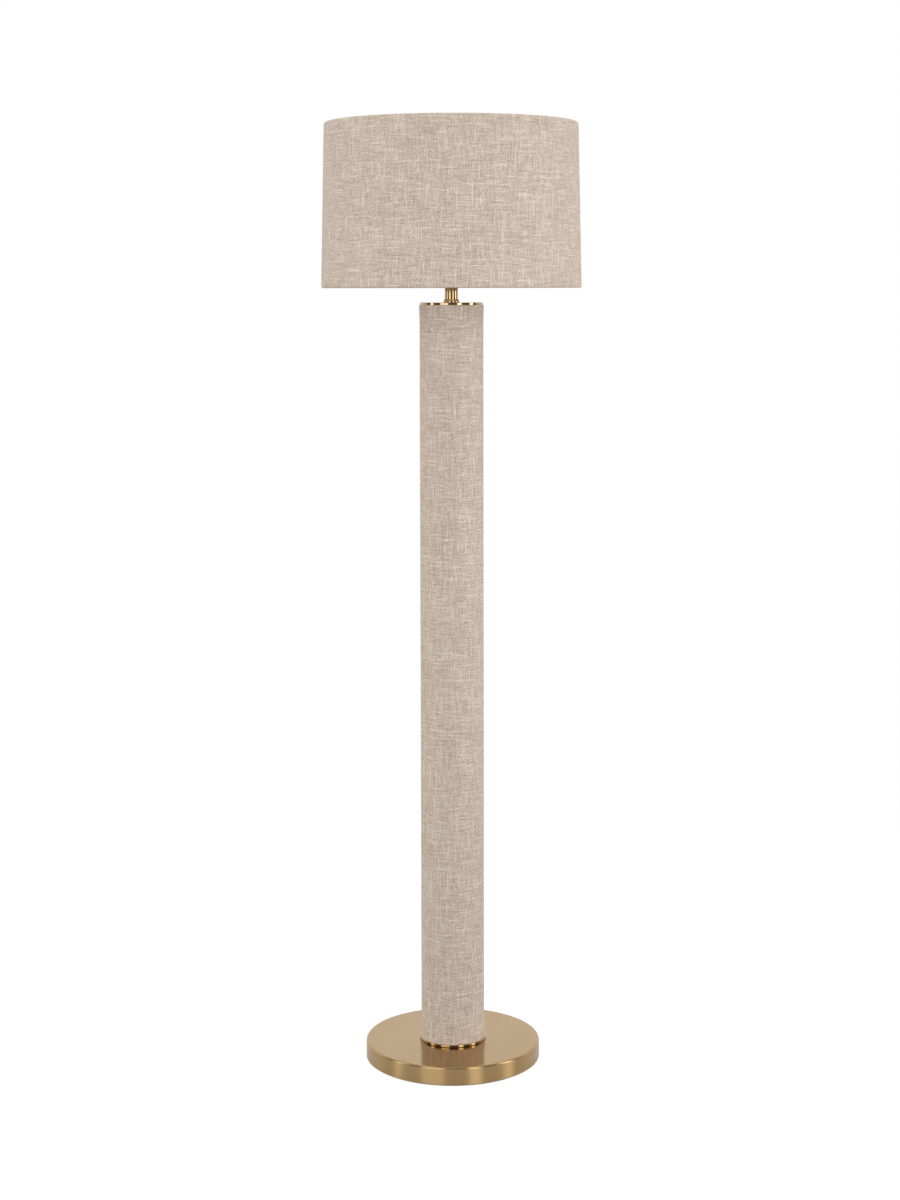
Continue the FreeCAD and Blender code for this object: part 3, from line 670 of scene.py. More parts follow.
def placeCamera(sizes):
    camera = bpy.data.objects.new("viewCamera", bpy.data.cameras.new("viewCamera"))
    camera.data.lens = sizes["lens"]
    camera.data.sensor_width = 36
    camera.data.shift_x = sizes["shiftX"]
    camera.data.shift_y = sizes["shiftY"]
    camera.data.dof.use_dof = False
    camera.location = (0, -sizes["distance"], sizes["height"])
    camera.rotation_euler = (math.radians(90 - sizes["pitch"]), math.radians(sizes["roll"]), 0)
    bpy.context.scene.collection.objects.link(camera)
    bpy.context.scene.camera = camera


def placeSoftboxes(sizes):
    distance = sizes["distance"]
    height = sizes["top"] - sizes["bottom"]
    middle = (sizes["top"] + sizes["bottom"]) / 2
    for i, (azimuth, spread, strength) in enumerate(sizes["lamps"]):
        lamp = bpy.data.lights.new(f"softbox{i + 1}", "AREA")
        lamp.shape = "RECTANGLE"
        lamp.size = 2 * distance * math.tan(math.radians(spread / 2))
        lamp.size_y = height
        lamp.energy = strength * math.pi * lamp.size * lamp.size_y
        holder = bpy.data.objects.new(lamp.name, lamp)
        turn = math.radians(azimuth)
        holder.location = (distance * math.sin(turn), -distance * math.cos(turn), middle)
        holder.rotation_euler = (math.radians(90), 0, turn)
        holder.visible_camera = False
        bpy.context.scene.collection.objects.link(holder)


def seenInMetal(path):
    # 1 for what metal and glass show, from any output of the ray's node
    return path.also("Is Glossy Ray").maths("MAXIMUM", path.also("Is Transmission Ray"))


def grey(level):
    return (level, level, level)


def lightRoom(look):
    # a white backdrop behind the lamp and a dim studio in front of it
    world = bpy.data.worlds.new("studio")
    world.use_nodes = True
    bpy.context.scene.world = world
    net = Tree(world.node_tree)
    direction = net.add("ShaderNodeTexCoord", {}, {}, "Generated")
    back = net.add("ShaderNodeSeparateXYZ", {}, {"Vector": direction}, "Y")
    path = net.add("ShaderNodeLightPath", {}, {}, "Is Camera Ray")
    metal = seenInMetal(path)
    wide = net.smooth(back, *look["lightEdges"])
    narrow = net.smooth(back, *look["mirrorEdges"])
    backdrop = wide * (1 - metal) + narrow * metal
    above = net.smooth(back.also("Z"), *look["ceilingEdges"])
    studio = net.mix(above, grey(look["studio"]), grey(look["ceiling"]))
    room = net.mix(backdrop, studio, grey(1.0))
    shown = path.maths("MAXIMUM", metal * backdrop)
    seen = net.mix(shown, room, grey(1.0))
    light = net.add("ShaderNodeBackground", {}, {"Color": seen, "Strength": 1.0})
    net.add("ShaderNodeOutputWorld", {}, {"Surface": light})


def layFloor(look):
    # white to the camera and in metal, but for the lamp's shadow and a painted shade near the foot that only
    # metal mirrors
    net = Finish("paleFloor")
    place = net.objectSpace()
    x = net.add("ShaderNodeSeparateXYZ", {}, {"Vector": place})
    y = x.also("Y")
    away = (x * x + y * y).maths("SQRT")
    far = net.smooth(away, *look["fade"])
    path = net.add("ShaderNodeLightPath", {}, {}, "Is Camera Ray")
    shown = path.maths("MAXIMUM", seenInMetal(path))
    caught = net.mix(far, grey(look["near"]), grey(look["far"]))
    # for metal rays this dims the floor near the foot: painted shade in the brass's reflections
    dip = look["mirrorPaintedShade"] - path * (look["mirrorPaintedShade"] - look["shownDip"])
    plain = net.add("ShaderNodeBsdfDiffuse", {}, {"Color": asColour(grey(look["shade"]))})
    shadowed = net.add("ShaderNodeBsdfDiffuse", {}, {"Color": caught})
    glow = {"Color": asColour(grey(1.0)), "Strength": 1 - (1 - far) * dip}
    lift = net.add("ShaderNodeEmission", {}, glow)
    lifted = net.add("ShaderNodeAddShader", {}, {0: shadowed, 1: lift})
    choose = net.add("ShaderNodeMixShader", {}, {0: shown, 1: plain, 2: lifted})
    net.add("ShaderNodeOutputMaterial", {}, {"Surface": choose})
    mesh = bpy.data.meshes.new("floor")
    builder = bmesh.new()
    bmesh.ops.create_circle(builder, cap_ends=True, segments=96, radius=look["radius"])
    builder.to_mesh(mesh)
    builder.free()
    mesh.materials.append(net.material)
    floor = bpy.data.objects.new("floor", mesh)
    bpy.context.scene.collection.objects.link(floor)


placeCamera(cameraSizes)
placeSoftboxes(softboxSizes)
lightRoom(roomLook)
layFloor(floorLook)
view = bpy.context.scene.view_settings
view.view_transform = "Standard"
print("stage")


coverSizes = dict(wall=1.2 * mm, edge=3.6 * mm, lip=0.5 * mm, bore=5.3 * mm, sides=288)


def baseCover(sizes):
    # the shell of the base, open below
    radius = radiusOf("base_cover")
    bottom = bottomOf("base_cover")
    top = topOf("base_cover")
    inner = radius - sizes["wall"]
    points = rounded([
        (inner, bottom),
        (radius, bottom, sizes["lip"]),
        (radius, top, sizes["edge"]),
        (sizes["bore"], top),
        (sizes["bore"], top - sizes["wall"]),
        (inner, top - sizes["wall"], sizes["edge"] - sizes["wall"]),
    ], steps=10)
    piece = turned("baseCover", points, evenAngles(sizes["sides"]))
    return dress(piece, "stand", "satin_brass", "base_cover")


footRingSizes = dict(rounding=1.3 * mm, support=0.25 * mm, bore=5.3 * mm, sides=192)
capSizes = dict(rounding=0.7 * mm, support=0.15 * mm, bore=5.3 * mm, sides=192)


def brassDisc(name, node, sizes):
    # a disc with a bore and a rounded rim
    radius = radiusOf(node)
    points = rounded([
        (sizes["bore"], bottomOf(node)),
        (radius, bottomOf(node), sizes["rounding"]),
        (radius, topOf(node), sizes["rounding"]),
        (sizes["bore"], topOf(node)),
    ], steps=8, support=sizes["support"])
    piece = turned(name, points, evenAngles(sizes["sides"]))
    return dress(piece, "stand", "polished_brass", node)


baseCover(coverSizes)
brassDisc("footRing", "foot_ring", footRingSizes)
print("base")


seamSizes = dict(
    angle=math.radians(90),     # at the back
    lap=12 * mm,
    edge=0.4 * mm,
    rise=0.55 * mm,
    ease=9 * mm,                # over this length the cloth lifts to the lap
)


def seamAngles(count, radius, seam):
    # even steps, with close ones where the cloth laps at the back
    starts = (-seam["ease"], 0, seam["lap"], seam["lap"] + seam["edge"])
    marks = [seam["angle"] + start / radius for start in starts]
    nearest = 0.002     # radians
    angles = [a for a in evenAngles(count) if all(abs(a - mark) > nearest for mark in marks)]
    return sorted(angles + marks)


def lapRise(angle, radius, seam):
    # how far the upper end of the cloth stands off where it lies on the lower end
    along = (angle - seam["angle"]) * radius
    if along < -seam["ease"] or along > seam["lap"] + 0.5 * seam["edge"]:
        return 0.0
    if along < 0:
        share = 1 + along / seam["ease"]
        return seam["rise"] * share * share * (3 - 2 * share)
    return seam["rise"]


def ripple(angle, height, depth):
    # the cloth is never quite round
    return depth * (math.sin(3 * angle + 1.3) + 0.6 * math.sin(7 * angle + 4 * height)
                    + 0.4 * math.sin(11 * angle - 9 * height))


shadeSizes = dict(
    bottomRadius=220 * mm,
    topRadius=214.25 * mm,
    height=277 * mm,
    cloth=0.8 * mm,
    wire=1.8 * mm,              # half its thickness
    wireGap=0.3 * mm,
    lining=1.0 * mm,
    liningGap=0.1 * mm,
    liningRelief=0.02 * mm,     # keeps the lining's face off the cloth's
    ripple=0.12 * mm,
    wallSteps=24,
    hemSteps=14,
    sides=240,
    wireSides=192,
)
# half the thickness of the rolled edge, the lean of the wall, its slant height and its foot
hem = shadeSizes["cloth"] + shadeSizes["wireGap"] + shadeSizes["wire"]
shadeSlope = math.atan2(shadeSizes["bottomRadius"] - shadeSizes["topRadius"], shadeSizes["height"])
shadeLength = math.hypot(shadeSizes["bottomRadius"] - shadeSizes["topRadius"], shadeSizes["height"])
shadeFoot = topOf("shade_linen") - shadeSizes["height"]


def onShade(along, depth):
    # a point so far up the slant of the wall and so deep behind its face
    radius = shadeSizes["bottomRadius"] - along * math.sin(shadeSlope) - depth * math.cos(shadeSlope)
    return Vector((radius, shadeFoot + along * math.cos(shadeSlope) - depth * math.sin(shadeSlope)))


def hemPoints(middle, radius, inwards, steps, backwards=False):
    # three quarters of a turn about a wire
    turns = [1.5 * math.pi * i / steps for i in range(steps + 1)]
    if backwards:
        turns.reverse()
    return [onShade(middle - inwards * radius * math.sin(t), hem - radius * math.cos(t)) for t in turns]


def shadeLinen(sizes):
    # one closed wall of cloth, rolled round the wire at both ends
    low = hem
    high = shadeLength - hem
    inner = hem - sizes["cloth"]
    steps = sizes["hemSteps"]
    count = sizes["wallSteps"]
    heights = [low + (high - low) * i / count for i in range(1, count)]
    points = hemPoints(low, hem, 1, steps, True)
    points += [onShade(along, 0) for along in heights]
    points += hemPoints(high, hem, -1, steps)
    points += hemPoints(high, inner, -1, steps, True)
    points += [onShade(along, sizes["cloth"]) for along in reversed(heights)]
    points += hemPoints(low, inner, 1, steps)
    seam = seamSizes
    wide = sizes["bottomRadius"]

    def shift(point, angle):
        # only the outer half of the cloth rises at the seam
        below = shadeFoot + sizes["height"] - point.y
        middle = sizes["topRadius"] + below * math.tan(shadeSlope) - sizes["cloth"] / 2
        lift = lapRise(angle, wide, seam) if point.x > middle else 0.0
        return point.x + lift + ripple(angle, point.y, sizes["ripple"]), point.y

    piece = turned("shadeLinen", points, seamAngles(sizes["sides"], wide, seam), shift)
    dress(piece, "shade", "linen", "shade_linen")
    # the flat strip goes once round with a lap, and round both wires
    return piece


def shadeLining(sizes):
    # the stiff sheet behind the cloth, from roll to roll
    low = 2 * hem + sizes["liningGap"]
    high = shadeLength - low
    relief = sizes["liningRelief"]
    face = sizes["cloth"] + relief
    back = sizes["cloth"] + sizes["lining"]
    points = [onShade(low, face), onShade(high, face), onShade(high, back), onShade(low, back)]

    def shift(point, angle):
        return point.x + ripple(angle, point.y, sizes["ripple"]) - relief, point.y

    piece = turned("shadeLining", points, evenAngles(sizes["sides"]), shift)
    return dress(piece, "shade", "lining", "shade_lining")


def shadeWire(name, node, along, sizes):
    middle = onShade(along, hem)
    outline = circleOutline(middle.x, middle.y, sizes["wire"])
    piece = turned(name, outline, evenAngles(sizes["wireSides"]))
    return dress(piece, "shade", "white_wire", node)


columnSizes = dict(
    radius=54 * mm,
    tube=53.3 * mm,
    footFlare=1.8 * mm,         # the cloth turns out a little where it was trimmed
    footHeight=40 * mm,
    headFlare=0.8 * mm,
    headHeight=45 * mm,
    edge=0.6 * mm,
    edgeSteps=5,
    ripple=0.07 * mm,
    closeRows=[2, 5, 9, 14, 20, 27, 35, 44],    # mm from each end
    wallSteps=90,
    sides=160,
)


def columnLinen(sizes):
    # a sleeve stretched on the tube, with soft edges
    bottom = bottomOf("column_linen")
    top = topOf("column_linen")

    def wall(height):
        # radius of the cloth's face at a height
        foot = max(0.0, 1 - (height - bottom) / sizes["footHeight"])
        head = max(0.0, 1 - (top - height) / sizes["headHeight"])
        flare = sizes["footFlare"] * foot * foot * (1.6 - 0.6 * foot)
        return sizes["radius"] + flare + sizes["headFlare"] * head * head

    edge = sizes["edge"]
    turns = [math.radians(90 * i / sizes["edgeSteps"]) for i in range(sizes["edgeSteps"] + 1)]
    points = [Vector((sizes["tube"], bottom))]
    footRadius = wall(bottom + edge) - edge
    points += [Vector((footRadius + edge * math.sin(t), bottom + edge * (1 - math.cos(t)))) for t in turns]
    closeRows = [row * mm for row in sizes["closeRows"]]
    heights = [bottom + row for row in closeRows]
    inside = top - bottom - 2 * closeRows[-1]
    heights += [heights[-1] + inside * i / sizes["wallSteps"] for i in range(1, sizes["wallSteps"])]
    heights += [top - row for row in reversed(closeRows)]
    points += [Vector((wall(height), height)) for height in heights]
    headRadius = wall(top - edge) - edge
    points += [Vector((headRadius + edge * math.cos(t), top - edge * (1 - math.sin(t)))) for t in turns]
    points.append(Vector((sizes["tube"], top)))
    seam = seamSizes

    def shift(point, angle):
        if point.x < sizes["tube"] + 0.1 * mm:      # the inner face stays on the tube
            return point.x, point.y
        lift = lapRise(angle, sizes["radius"], seam)
        return point.x + lift + ripple(angle, point.y, sizes["ripple"]), point.y

    piece = turned("columnLinen", points, seamAngles(sizes["sides"], sizes["radius"], seam), shift)
    dress(piece, "stand", "linen", "column_linen")
    return piece


shadeLinen(shadeSizes)
shadeLining(shadeSizes)
shadeWire("shadeBottomWire", "shade_bottom_wire", hem, shadeSizes)
shadeWire("shadeTopWire", "shade_top_wire", shadeLength - hem, shadeSizes)
columnLinen(columnSizes)
print("cloth")


neckSizes = dict(topRadius=11.2 * mm, footRadius=11.6 * mm, bore=10 * mm, flareHeight=2.4 * mm,
                 blend=2.6 * mm, rounding=1.2 * mm, footRounding=0.4 * mm, sides=96)
collarSizes = dict(spigot=5 * mm, gap=0.1 * mm, rounding=0.7 * mm, bore=5.3 * mm, sides=96)


def neckTube(sizes):
    # a slightly tapered tube on a flared foot
    bottom = bottomOf("neck_tube")
    top = topOf("neck_tube")
    flare = radiusOf("neck_tube")
    points = rounded([
        (sizes["bore"], bottom),
        (flare, bottom, sizes["footRounding"]),
        (flare, bottom + sizes["flareHeight"], sizes["rounding"]),
        (sizes["footRadius"], bottom + sizes["flareHeight"] + sizes["blend"], sizes["rounding"]),
        (sizes["topRadius"], top),
        (sizes["bore"], top),
    ], steps=6, support=0.1 * mm)
    piece = turned("neckTube", points, evenAngles(sizes["sides"]))
    return dress(piece, "stand", "polished_brass", "neck_tube")


def neckCollar(sizes):
    # the lid of the neck, with a spigot down into it
    bottom = bottomOf("neck_collar")
    top = topOf("neck_collar")
    radius = radiusOf("neck_collar")
    inner = neckSizes["bore"] - sizes["gap"]
    points = rounded([
        (sizes["bore"], bottom),
        (inner, bottom),
        (inner, bottom + sizes["spigot"]),
        (radius, bottom + sizes["spigot"]),
        (radius, top, sizes["rounding"]),
        (sizes["bore"], top),
    ], steps=6, support=0.1 * mm)
    piece = turned("neckCollar", points, evenAngles(sizes["sides"]))
    return dress(piece, "stand", "polished_brass", "neck_collar")


brassDisc("columnCap", "column_cap", capSizes)
neckTube(neckSizes)
neckCollar(collarSizes)
print("cap and neck")


holderSizes = dict(
    rodBore=5.05 * mm,
    nipple=8.5 * mm,
    nippleHeight=4 * mm,
    shoulder=9.5 * mm,
    capRounding=5 * mm,
    nippleRounding=0.5 * mm,
    nippleBlend=1 * mm,
    rimRounding=0.4 * mm,
    wall=1.3 * mm,
    ledge=1.2 * mm,
    skirt=4 * mm,
    threadWall=8.05 * mm,
    threadTop=10 * mm,
    radius=18.5 * mm,
    bodyRounding=0.45 * mm,
    pitch=3 * mm,
    crest=0.75 * mm,
    crestOut=0.2 * mm,          # how far the thread's middle lies outside the body
    threadStart=17.5 * mm,
    turns=10.0,
    sides=96,
)


def holderCap(sizes):
    # a brass bowl with a nipple below for the rod and a skirt above for the body
    bottom = bottomOf("holder_cap")
    top = topOf("holder_cap")
    outer = radiusOf("holder_cap")
    inner = outer - sizes["wall"]
    shoulder = bottom + sizes["shoulder"]
    points = rounded([
        (sizes["rodBore"], bottom),
        (sizes["nipple"], bottom, sizes["nippleRounding"]),
        (sizes["nipple"], bottom + sizes["nippleHeight"], sizes["nippleBlend"]),
        (outer, shoulder, sizes["capRounding"]),
        (outer, top, sizes["rimRounding"]),
        (inner, top),
        (inner, top - sizes["skirt"]),
        (inner - sizes["ledge"], top - sizes["skirt"]),
        (inner - sizes["ledge"], shoulder + sizes["wall"], sizes["capRounding"] - sizes["wall"]),
        (sizes["threadWall"], bottom + sizes["nippleHeight"] + 2 * sizes["wall"]),
        (sizes["threadWall"], bottom + sizes["threadTop"]),
        (sizes["rodBore"], bottom + sizes["threadTop"]),
    ], steps=8, support=0.1 * mm)
    piece = turned("holderCap", points, evenAngles(sizes["sides"]))
    return dress(piece, "stand", "holder_brass", "holder_cap")


def threadShape(name, sizes, material):
    # a ridge that climbs round a cylinder, joined to the mesh that it is run on
    shape = Shape(name, sizes)
    radius = shape.start.also("Radius")
    turns = shape.start.also("Turns")
    rise = turns * shape.start.also("Pitch")
    spiral = shape.add("GeometryNodeCurveSpiral", {}, {
        "Resolution": 64, "Rotations": turns, "Start Radius": radius, "End Radius": radius, "Height": rise})
    section = shape.add("GeometryNodeCurvePrimitiveCircle", {}, {
        "Resolution": 10, "Radius": shape.start.also("Ridge")})
    ridge = shape.add("GeometryNodeCurveToMesh", {}, {
        "Curve": spiral, "Profile Curve": section, "Fill Caps": True})
    lifted = shape.add("GeometryNodeTransform", {}, {
        "Geometry": ridge, "Translation": shape.vector(0.0, 0.0, shape.start.also("Start"))})
    smooth = shape.add("GeometryNodeSetShadeSmooth", {}, {"Geometry": lifted})
    whole = shape.add("GeometryNodeJoinGeometry", {}, {"Geometry": [shape.start, smooth]})
    shape.finish(whole, material)
    return shape


def holderBody(sizes):
    # a sleeve with a coarse thread for the shade's rings
    bottom = bottomOf("holder_body")
    top = topOf("holder_body")
    points = rounded([
        (sizes["radius"] - sizes["wall"], bottom),
        (sizes["radius"], bottom),
        (sizes["radius"], top, sizes["bodyRounding"]),
        (sizes["radius"] - sizes["wall"], top, sizes["bodyRounding"]),
    ], steps=5, support=0.1 * mm)
    piece = turned("holderBody", points, evenAngles(sizes["sides"]))
    thread = threadShape("holderThread", {
        "Turns": sizes["turns"], "Pitch": sizes["pitch"], "Radius": sizes["radius"] + sizes["crestOut"],
        "Ridge": sizes["crest"], "Start": bottom + sizes["threadStart"],
    }, finishes["holder_brass"])
    thread.runOn(piece)
    return dress(piece, "stand", "holder_brass", "holder_body")


shadeRingSizes = dict(bore=19.6 * mm, boreRounding=0.3 * mm, edgeRounding=0.9 * mm, grips=18,
                      gripSteps=20, depth=0.75 * mm, rim=1.6 * mm)


def shadeRing(name, node, body, sizes):
    # a threaded ring with finger scallops round its edge
    bottom = bottomOf(node)
    top = topOf(node)
    outer = radiusOf("clamp_ring")
    points = rounded([
        (sizes["bore"], bottom, sizes["boreRounding"]),
        (outer, bottom, sizes["edgeRounding"]),
        (outer, top, sizes["edgeRounding"]),
        (sizes["bore"], top, sizes["boreRounding"]),
    ], steps=5, support=0.2 * mm)
    piece = turned(name, points, evenAngles(sizes["grips"] * sizes["gripSteps"]))
    shape = Shape(name + "Grips", {
        "Grips": sizes["grips"], "Depth": sizes["depth"], "Edge": outer, "Rim": sizes["rim"]})
    x = shape.add("ShaderNodeSeparateXYZ", {}, {"Vector": shape.add("GeometryNodeInputPosition")})
    y = x.also("Y")
    radius = (x * x + y * y).maths("SQRT")
    wave = (y.maths("ARCTAN2", x) * shape.start.also("Grips")).maths("COSINE")
    dip = ((wave - 0.5) * 2).maths("MAXIMUM", 0.0)
    rim = shape.start.also("Rim")
    reach = ((radius - (shape.start.also("Edge") - rim)) / rim).maths("MAXIMUM", 0.0)
    inward = dip * reach * shape.start.also("Depth") / radius * -1
    moved = shape.add("GeometryNodeSetPosition", {}, {
        "Geometry": shape.start, "Offset": shape.vector(x * inward, y * inward)})
    shape.finish(moved, finishes["holder_brass"])
    shape.runOn(piece)
    return dress(piece, body, "holder_brass", node)


knobSizes = dict(radius=3.9 * mm, length=4.5 * mm, rounding=1.2 * mm, backRounding=0.3 * mm,
                 crown=0.2 * mm, sides=48)


def switchKnob(name, sizes, face, side):
    # a domed button pressed on the end of the bar, with its back at face
    middle = (bottomOf("switch_bar") + topOf("switch_bar")) / 2
    points = rounded([
        (0, 0),
        (sizes["radius"], 0, sizes["backRounding"]),
        (sizes["radius"], sizes["length"], sizes["rounding"]),
        (0, sizes["length"] + sizes["crown"]),
    ], steps=6, support=0.1 * mm)
    piece = turned(name, points, evenAngles(sizes["sides"]))
    spin = Matrix.Rotation(math.radians(90 * side), 4, "Y")
    piece.data.transform(Matrix.Translation((face, 0, middle)) @ spin)
    return dress(piece, "switch", "black_plastic", "switch_knobs")


holderCap(holderSizes)
holderBody(holderSizes)
shadeRing("lowerShadeRing", "lower_shade_ring", "stand", shadeRingSizes)
shadeRing("clampRing", "clamp_ring", "shade_clamp", shadeRingSizes)
switchLow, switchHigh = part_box("switch_knobs")
switchKnob("switchKnobLeft", knobSizes, switchLow.x + knobSizes["length"], -1)
switchKnob("switchKnobRight", knobSizes, switchHigh.x - knobSizes["length"], 1)
print("lampholder")


armSizes = dict(
    radius=1.6 * mm,
    count=3,
    firstAngle=90.0,
    inset=1.4 * mm,             # from the ring's edge to the arm's end
    weld=2.3 * mm,
    wireWeld=2.185 * mm,
    wireWeldIn=1.2 * mm,
)
carrierRingSizes = dict(bore=21 * mm, boreRounding=0.4 * mm, edgeRounding=0.5 * mm, sides=128)


def aroundShape(name, sizes, material):
    # copies of a mesh, evenly spaced about the vertical axis
    shape = Shape(name, sizes)
    count = shape.start.also("Count")
    turn = shape.add("GeometryNodeInputIndex") * (2 * math.pi) / count + shape.start.also("First")
    points = shape.add("GeometryNodePoints", {}, {"Count": count})
    inputs = {"Points": points, "Instance": shape.start, "Rotation": shape.vector(0.0, 0.0, turn)}
    shape.finish(shape.add("GeometryNodeInstanceOnPoints", {}, inputs), material)
    return shape


def joined(name, pieces):
    # several meshes made one
    mesh = bpy.data.meshes.new(name)
    builder = bmesh.new()
    for piece in pieces:
        builder.from_mesh(piece.data)
        bpy.data.objects.remove(piece)
    builder.to_mesh(mesh)
    builder.free()
    mesh.set_sharp_from_angle(angle=sharpAngle)
    whole = bpy.data.objects.new(name, mesh)
    bpy.context.scene.collection.objects.link(whole)
    return whole


def bead(name, centre, radius):
    # a small round blob, such as a weld
    half = [math.pi * (i / 8 - 0.5) for i in range(9)]
    piece = turned(name, [Vector((radius * math.cos(a), radius * math.sin(a))) for a in half], evenAngles(20))
    piece.data.transform(Matrix.Translation(centre))
    return piece


def carrierArms(sizes):
    # straight arms from the ring out to the shade's lower wire, welded at both ends
    ringEdge = radiusOf("carrier_ring") - sizes["inset"]
    level = (bottomOf("carrier_ring") + topOf("carrier_ring")) / 2
    wire = onShade(hem, hem)
    start = Vector((ringEdge, 0, level))
    end = Vector((wire.x, 0, wire.y))
    outward = (end - start).normalized()
    arm = rod("arm", start, end, sizes["radius"])
    inner = bead("innerWeld", start, sizes["weld"])
    outer = bead("outerWeld", end - outward * sizes["wireWeldIn"], sizes["wireWeld"])
    piece = joined("carrierArms", [arm, inner, outer])
    arms = aroundShape("arms", {
        "Count": sizes["count"], "First": math.radians(sizes["firstAngle"])}, finishes["white_wire"])
    arms.runOn(piece)
    return dress(piece, "shade", "white_wire", "carrier_arms")


def carrierRing(sizes):
    # the ring that the clamp ring holds
    outer = radiusOf("carrier_ring")
    points = rounded([
        (sizes["bore"], bottomOf("carrier_ring"), sizes["boreRounding"]),
        (outer, bottomOf("carrier_ring"), sizes["edgeRounding"]),
        (outer, topOf("carrier_ring"), sizes["edgeRounding"]),
        (sizes["bore"], topOf("carrier_ring"), sizes["boreRounding"]),
    ], steps=5, support=0.1 * mm)
    piece = turned("carrierRing", points, evenAngles(sizes["sides"]))
    return dress(piece, "shade", "white_wire", "carrier_ring")


carrierArms(armSizes)
carrierRing(carrierRingSizes)
print("carrier")


bulbSizes = dict(
    globe=30 * mm,
    wall=1.3 * mm,
    split=-27.0,                # degrees, minus is below the globe's middle
    globeSteps=26,
    collar=14.2 * mm,
    collarHeight=3 * mm,
    collarRounding=0.6 * mm,
    shoulder=6 * mm,
    capCore=12.35 * mm,
    capWall=0.5 * mm,
    capRounding=0.4 * mm,
    capShoulder=1.2 * mm,
    capShoulderRounding=0.6 * mm,
    capFloor=1.4 * mm,
    threadPitch=3.63 * mm,
    threadTurns=4.6,
    threadStart=2.2 * mm,
    ridge=0.95 * mm,
    ridgeIn=0.15 * mm,          # how far the thread's middle lies inside the cap
    sides=128,
    capSides=96,
)


def globePoint(sizes, radius, degrees):
    # a point of the globe's outline, so many degrees above its middle
    middle = topOf("bulb_glass") - sizes["globe"]
    angle = math.radians(degrees)
    return Vector((radius * math.cos(angle), middle + radius * math.sin(angle)))


def bulbGlass(sizes):
    # a hollow globe, open where the body holds it
    steps = sizes["globeSteps"]
    top = topOf("bulb_glass")
    inner = sizes["globe"] - sizes["wall"]
    angles = [sizes["split"] + (90 - sizes["split"]) * i / steps for i in range(steps)]
    points = [globePoint(sizes, sizes["globe"], a) for a in angles]
    points += [Vector((0, top)), Vector((0, top - sizes["wall"]))]
    points += [globePoint(sizes, inner, a) for a in reversed(angles)]
    piece = turned("bulbGlass", points, evenAngles(sizes["sides"]))
    return dress(piece, "bulb", "opal", "bulb_glass")


def bulbBody(sizes):
    # a plastic cup that widens to the globe
    top = globePoint(sizes, sizes["globe"], sizes["split"])
    bottom = bottomOf("bulb_body")
    collarTop = bottom + sizes["collarHeight"]
    wall = sizes["wall"]
    points = rounded([
        (0, bottom),
        (sizes["collar"], bottom, sizes["collarRounding"]),
        (sizes["collar"], collarTop, sizes["shoulder"]),
        (top.x, top.y),
        (top.x - wall, top.y),
        (sizes["collar"] - wall, collarTop, sizes["shoulder"]),
        (sizes["collar"] - wall, bottom + wall),
        (0, bottom + wall),
    ], steps=10, support=0.1 * mm)
    piece = turned("bulbBody", points, evenAngles(sizes["sides"]))
    return dress(piece, "bulb", "bulb_plastic", "bulb_body")


def bulbCap(sizes):
    # the threaded screw cap, open above
    bottom = bottomOf("bulb_cap")
    top = topOf("bulb_cap")
    inner = sizes["capCore"] - sizes["capWall"]
    points = rounded([
        (0, bottom),
        (inner, bottom, sizes["capRounding"]),
        (sizes["capCore"], bottom + sizes["capShoulder"], sizes["capShoulderRounding"]),
        (sizes["capCore"], top),
        (inner, top),
        (inner, bottom + sizes["capFloor"]),
        (0, bottom + sizes["capFloor"]),
    ], steps=5, support=0.1 * mm)
    piece = turned("bulbCap", points, evenAngles(sizes["capSides"]))
    thread = threadShape("capThread", {
        "Turns": sizes["threadTurns"], "Pitch": sizes["threadPitch"],
        "Radius": sizes["capCore"] - sizes["ridgeIn"], "Ridge": sizes["ridge"],
        "Start": bottom + sizes["threadStart"],
    }, finishes["nickel"])
    thread.runOn(piece)
    return dress(piece, "bulb", "nickel", "bulb_cap")


bulbGlass(bulbSizes)
bulbBody(bulbSizes)
bulbCap(bulbSizes)
print("bulb")


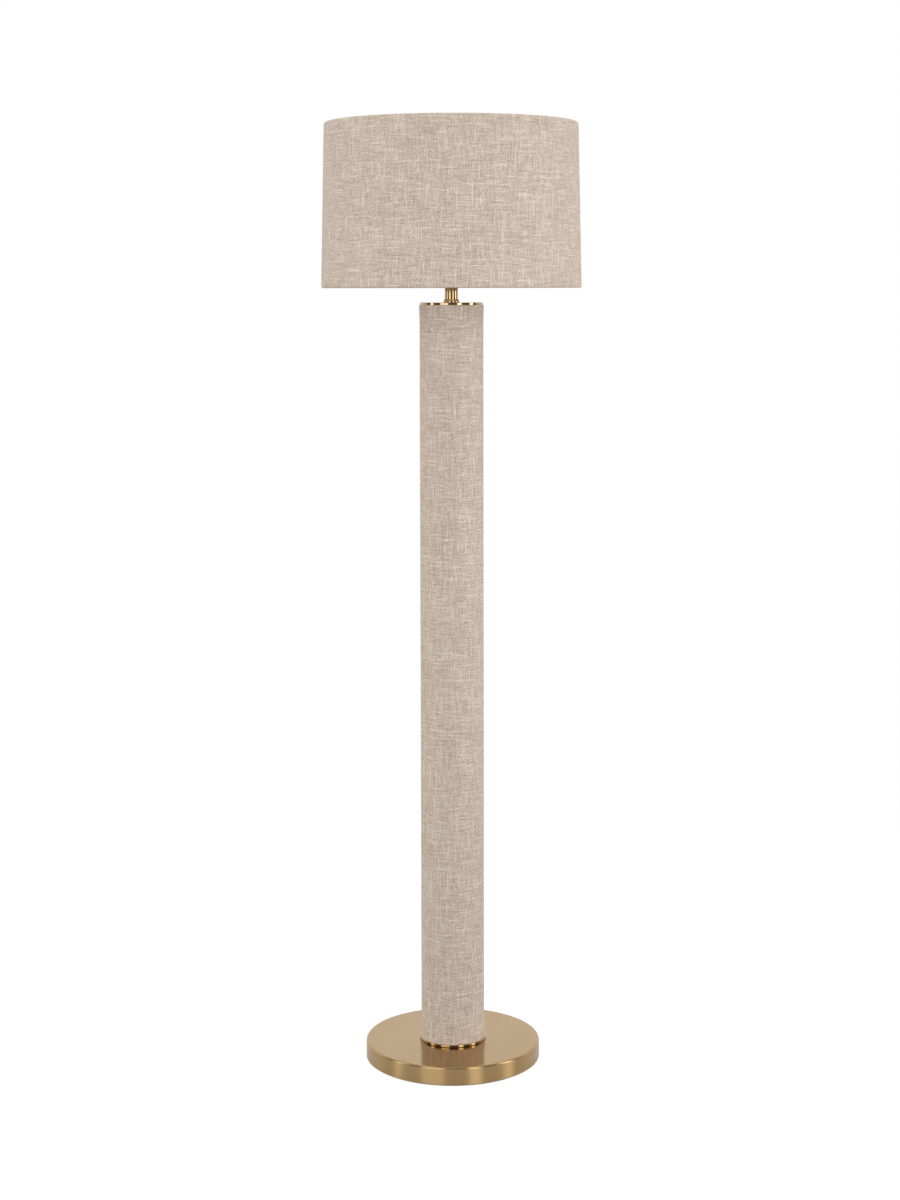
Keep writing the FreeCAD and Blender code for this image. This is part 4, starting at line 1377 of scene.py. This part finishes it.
bushSizes = dict(bore=3.4 * mm, wall=1.35 * mm, lip=0.55 * mm, lead=1 * mm, leadRounding=0.3 * mm,
                 grooveDepth=1.3 * mm, groove=1.2 * mm, flange=2.3 * mm, rounding=0.9 * mm, sides=64)


def cordBush(sizes):
    # a rubber bush with a groove that grips the cover's wall
    low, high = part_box("cord_bush")
    face = high.y
    inside = low.y
    seat = radiusOf("base_cover") - sizes["grooveDepth"]
    neck = sizes["bore"] + sizes["wall"]
    points = rounded([
        (sizes["bore"], inside),
        (neck, inside),
        (neck + sizes["lip"], inside + sizes["lead"], sizes["leadRounding"]),
        (neck + sizes["lip"], seat),
        (neck, seat),
        (neck, seat + sizes["groove"]),
        (neck + sizes["flange"], seat + sizes["groove"]),
        (neck + sizes["flange"], face, sizes["rounding"]),
        (sizes["bore"], face, sizes["rounding"]),
    ], steps=7, support=0.1 * mm)
    piece = turned("cordBush", points, evenAngles(sizes["sides"]))
    spin = Matrix.Rotation(math.radians(-90), 4, "X")
    piece.data.transform(Matrix.Translation((0, 0, (low.z + high.z) / 2)) @ spin)
    return dress(piece, "stand", "black_rubber", "cord_bush")


cordBush(bushSizes)
print("bush")


# the rest keeps its solid and gets a finish
solidFinishes = dict(
    floor_pad="foam",
    base_plate="zinc_steel",
    plate_screws="zinc_steel",
    base_weight="iron",
    tie_rod="zinc_steel",
    base_washer="zinc_steel",
    base_nut="zinc_steel",
    foot_plug="plywood",
    column_tube="tube_card",
    head_plug="plywood",
    column_washer="zinc_steel",
    column_nut="zinc_steel",
    lock_washer="zinc_steel",
    grub_screw="zinc_steel",
    contact_block="porcelain",
    screw_shell="contact_brass",
    centre_contact="contact_brass",
    contact_rivet="contact_brass",
    terminals="contact_brass",
    terminal_screws="zinc_steel",
    switch_bar="black_plastic",
    bulb_contact="solder",
    bulb_insulator="black_glass",
)
for node, slotName in solidFinishes.items():
    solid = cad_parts[node]
    for materialSlot in solid.material_slots:
        materialSlot.material = finishes[slotName]
print("solids", len(solidFinishes))
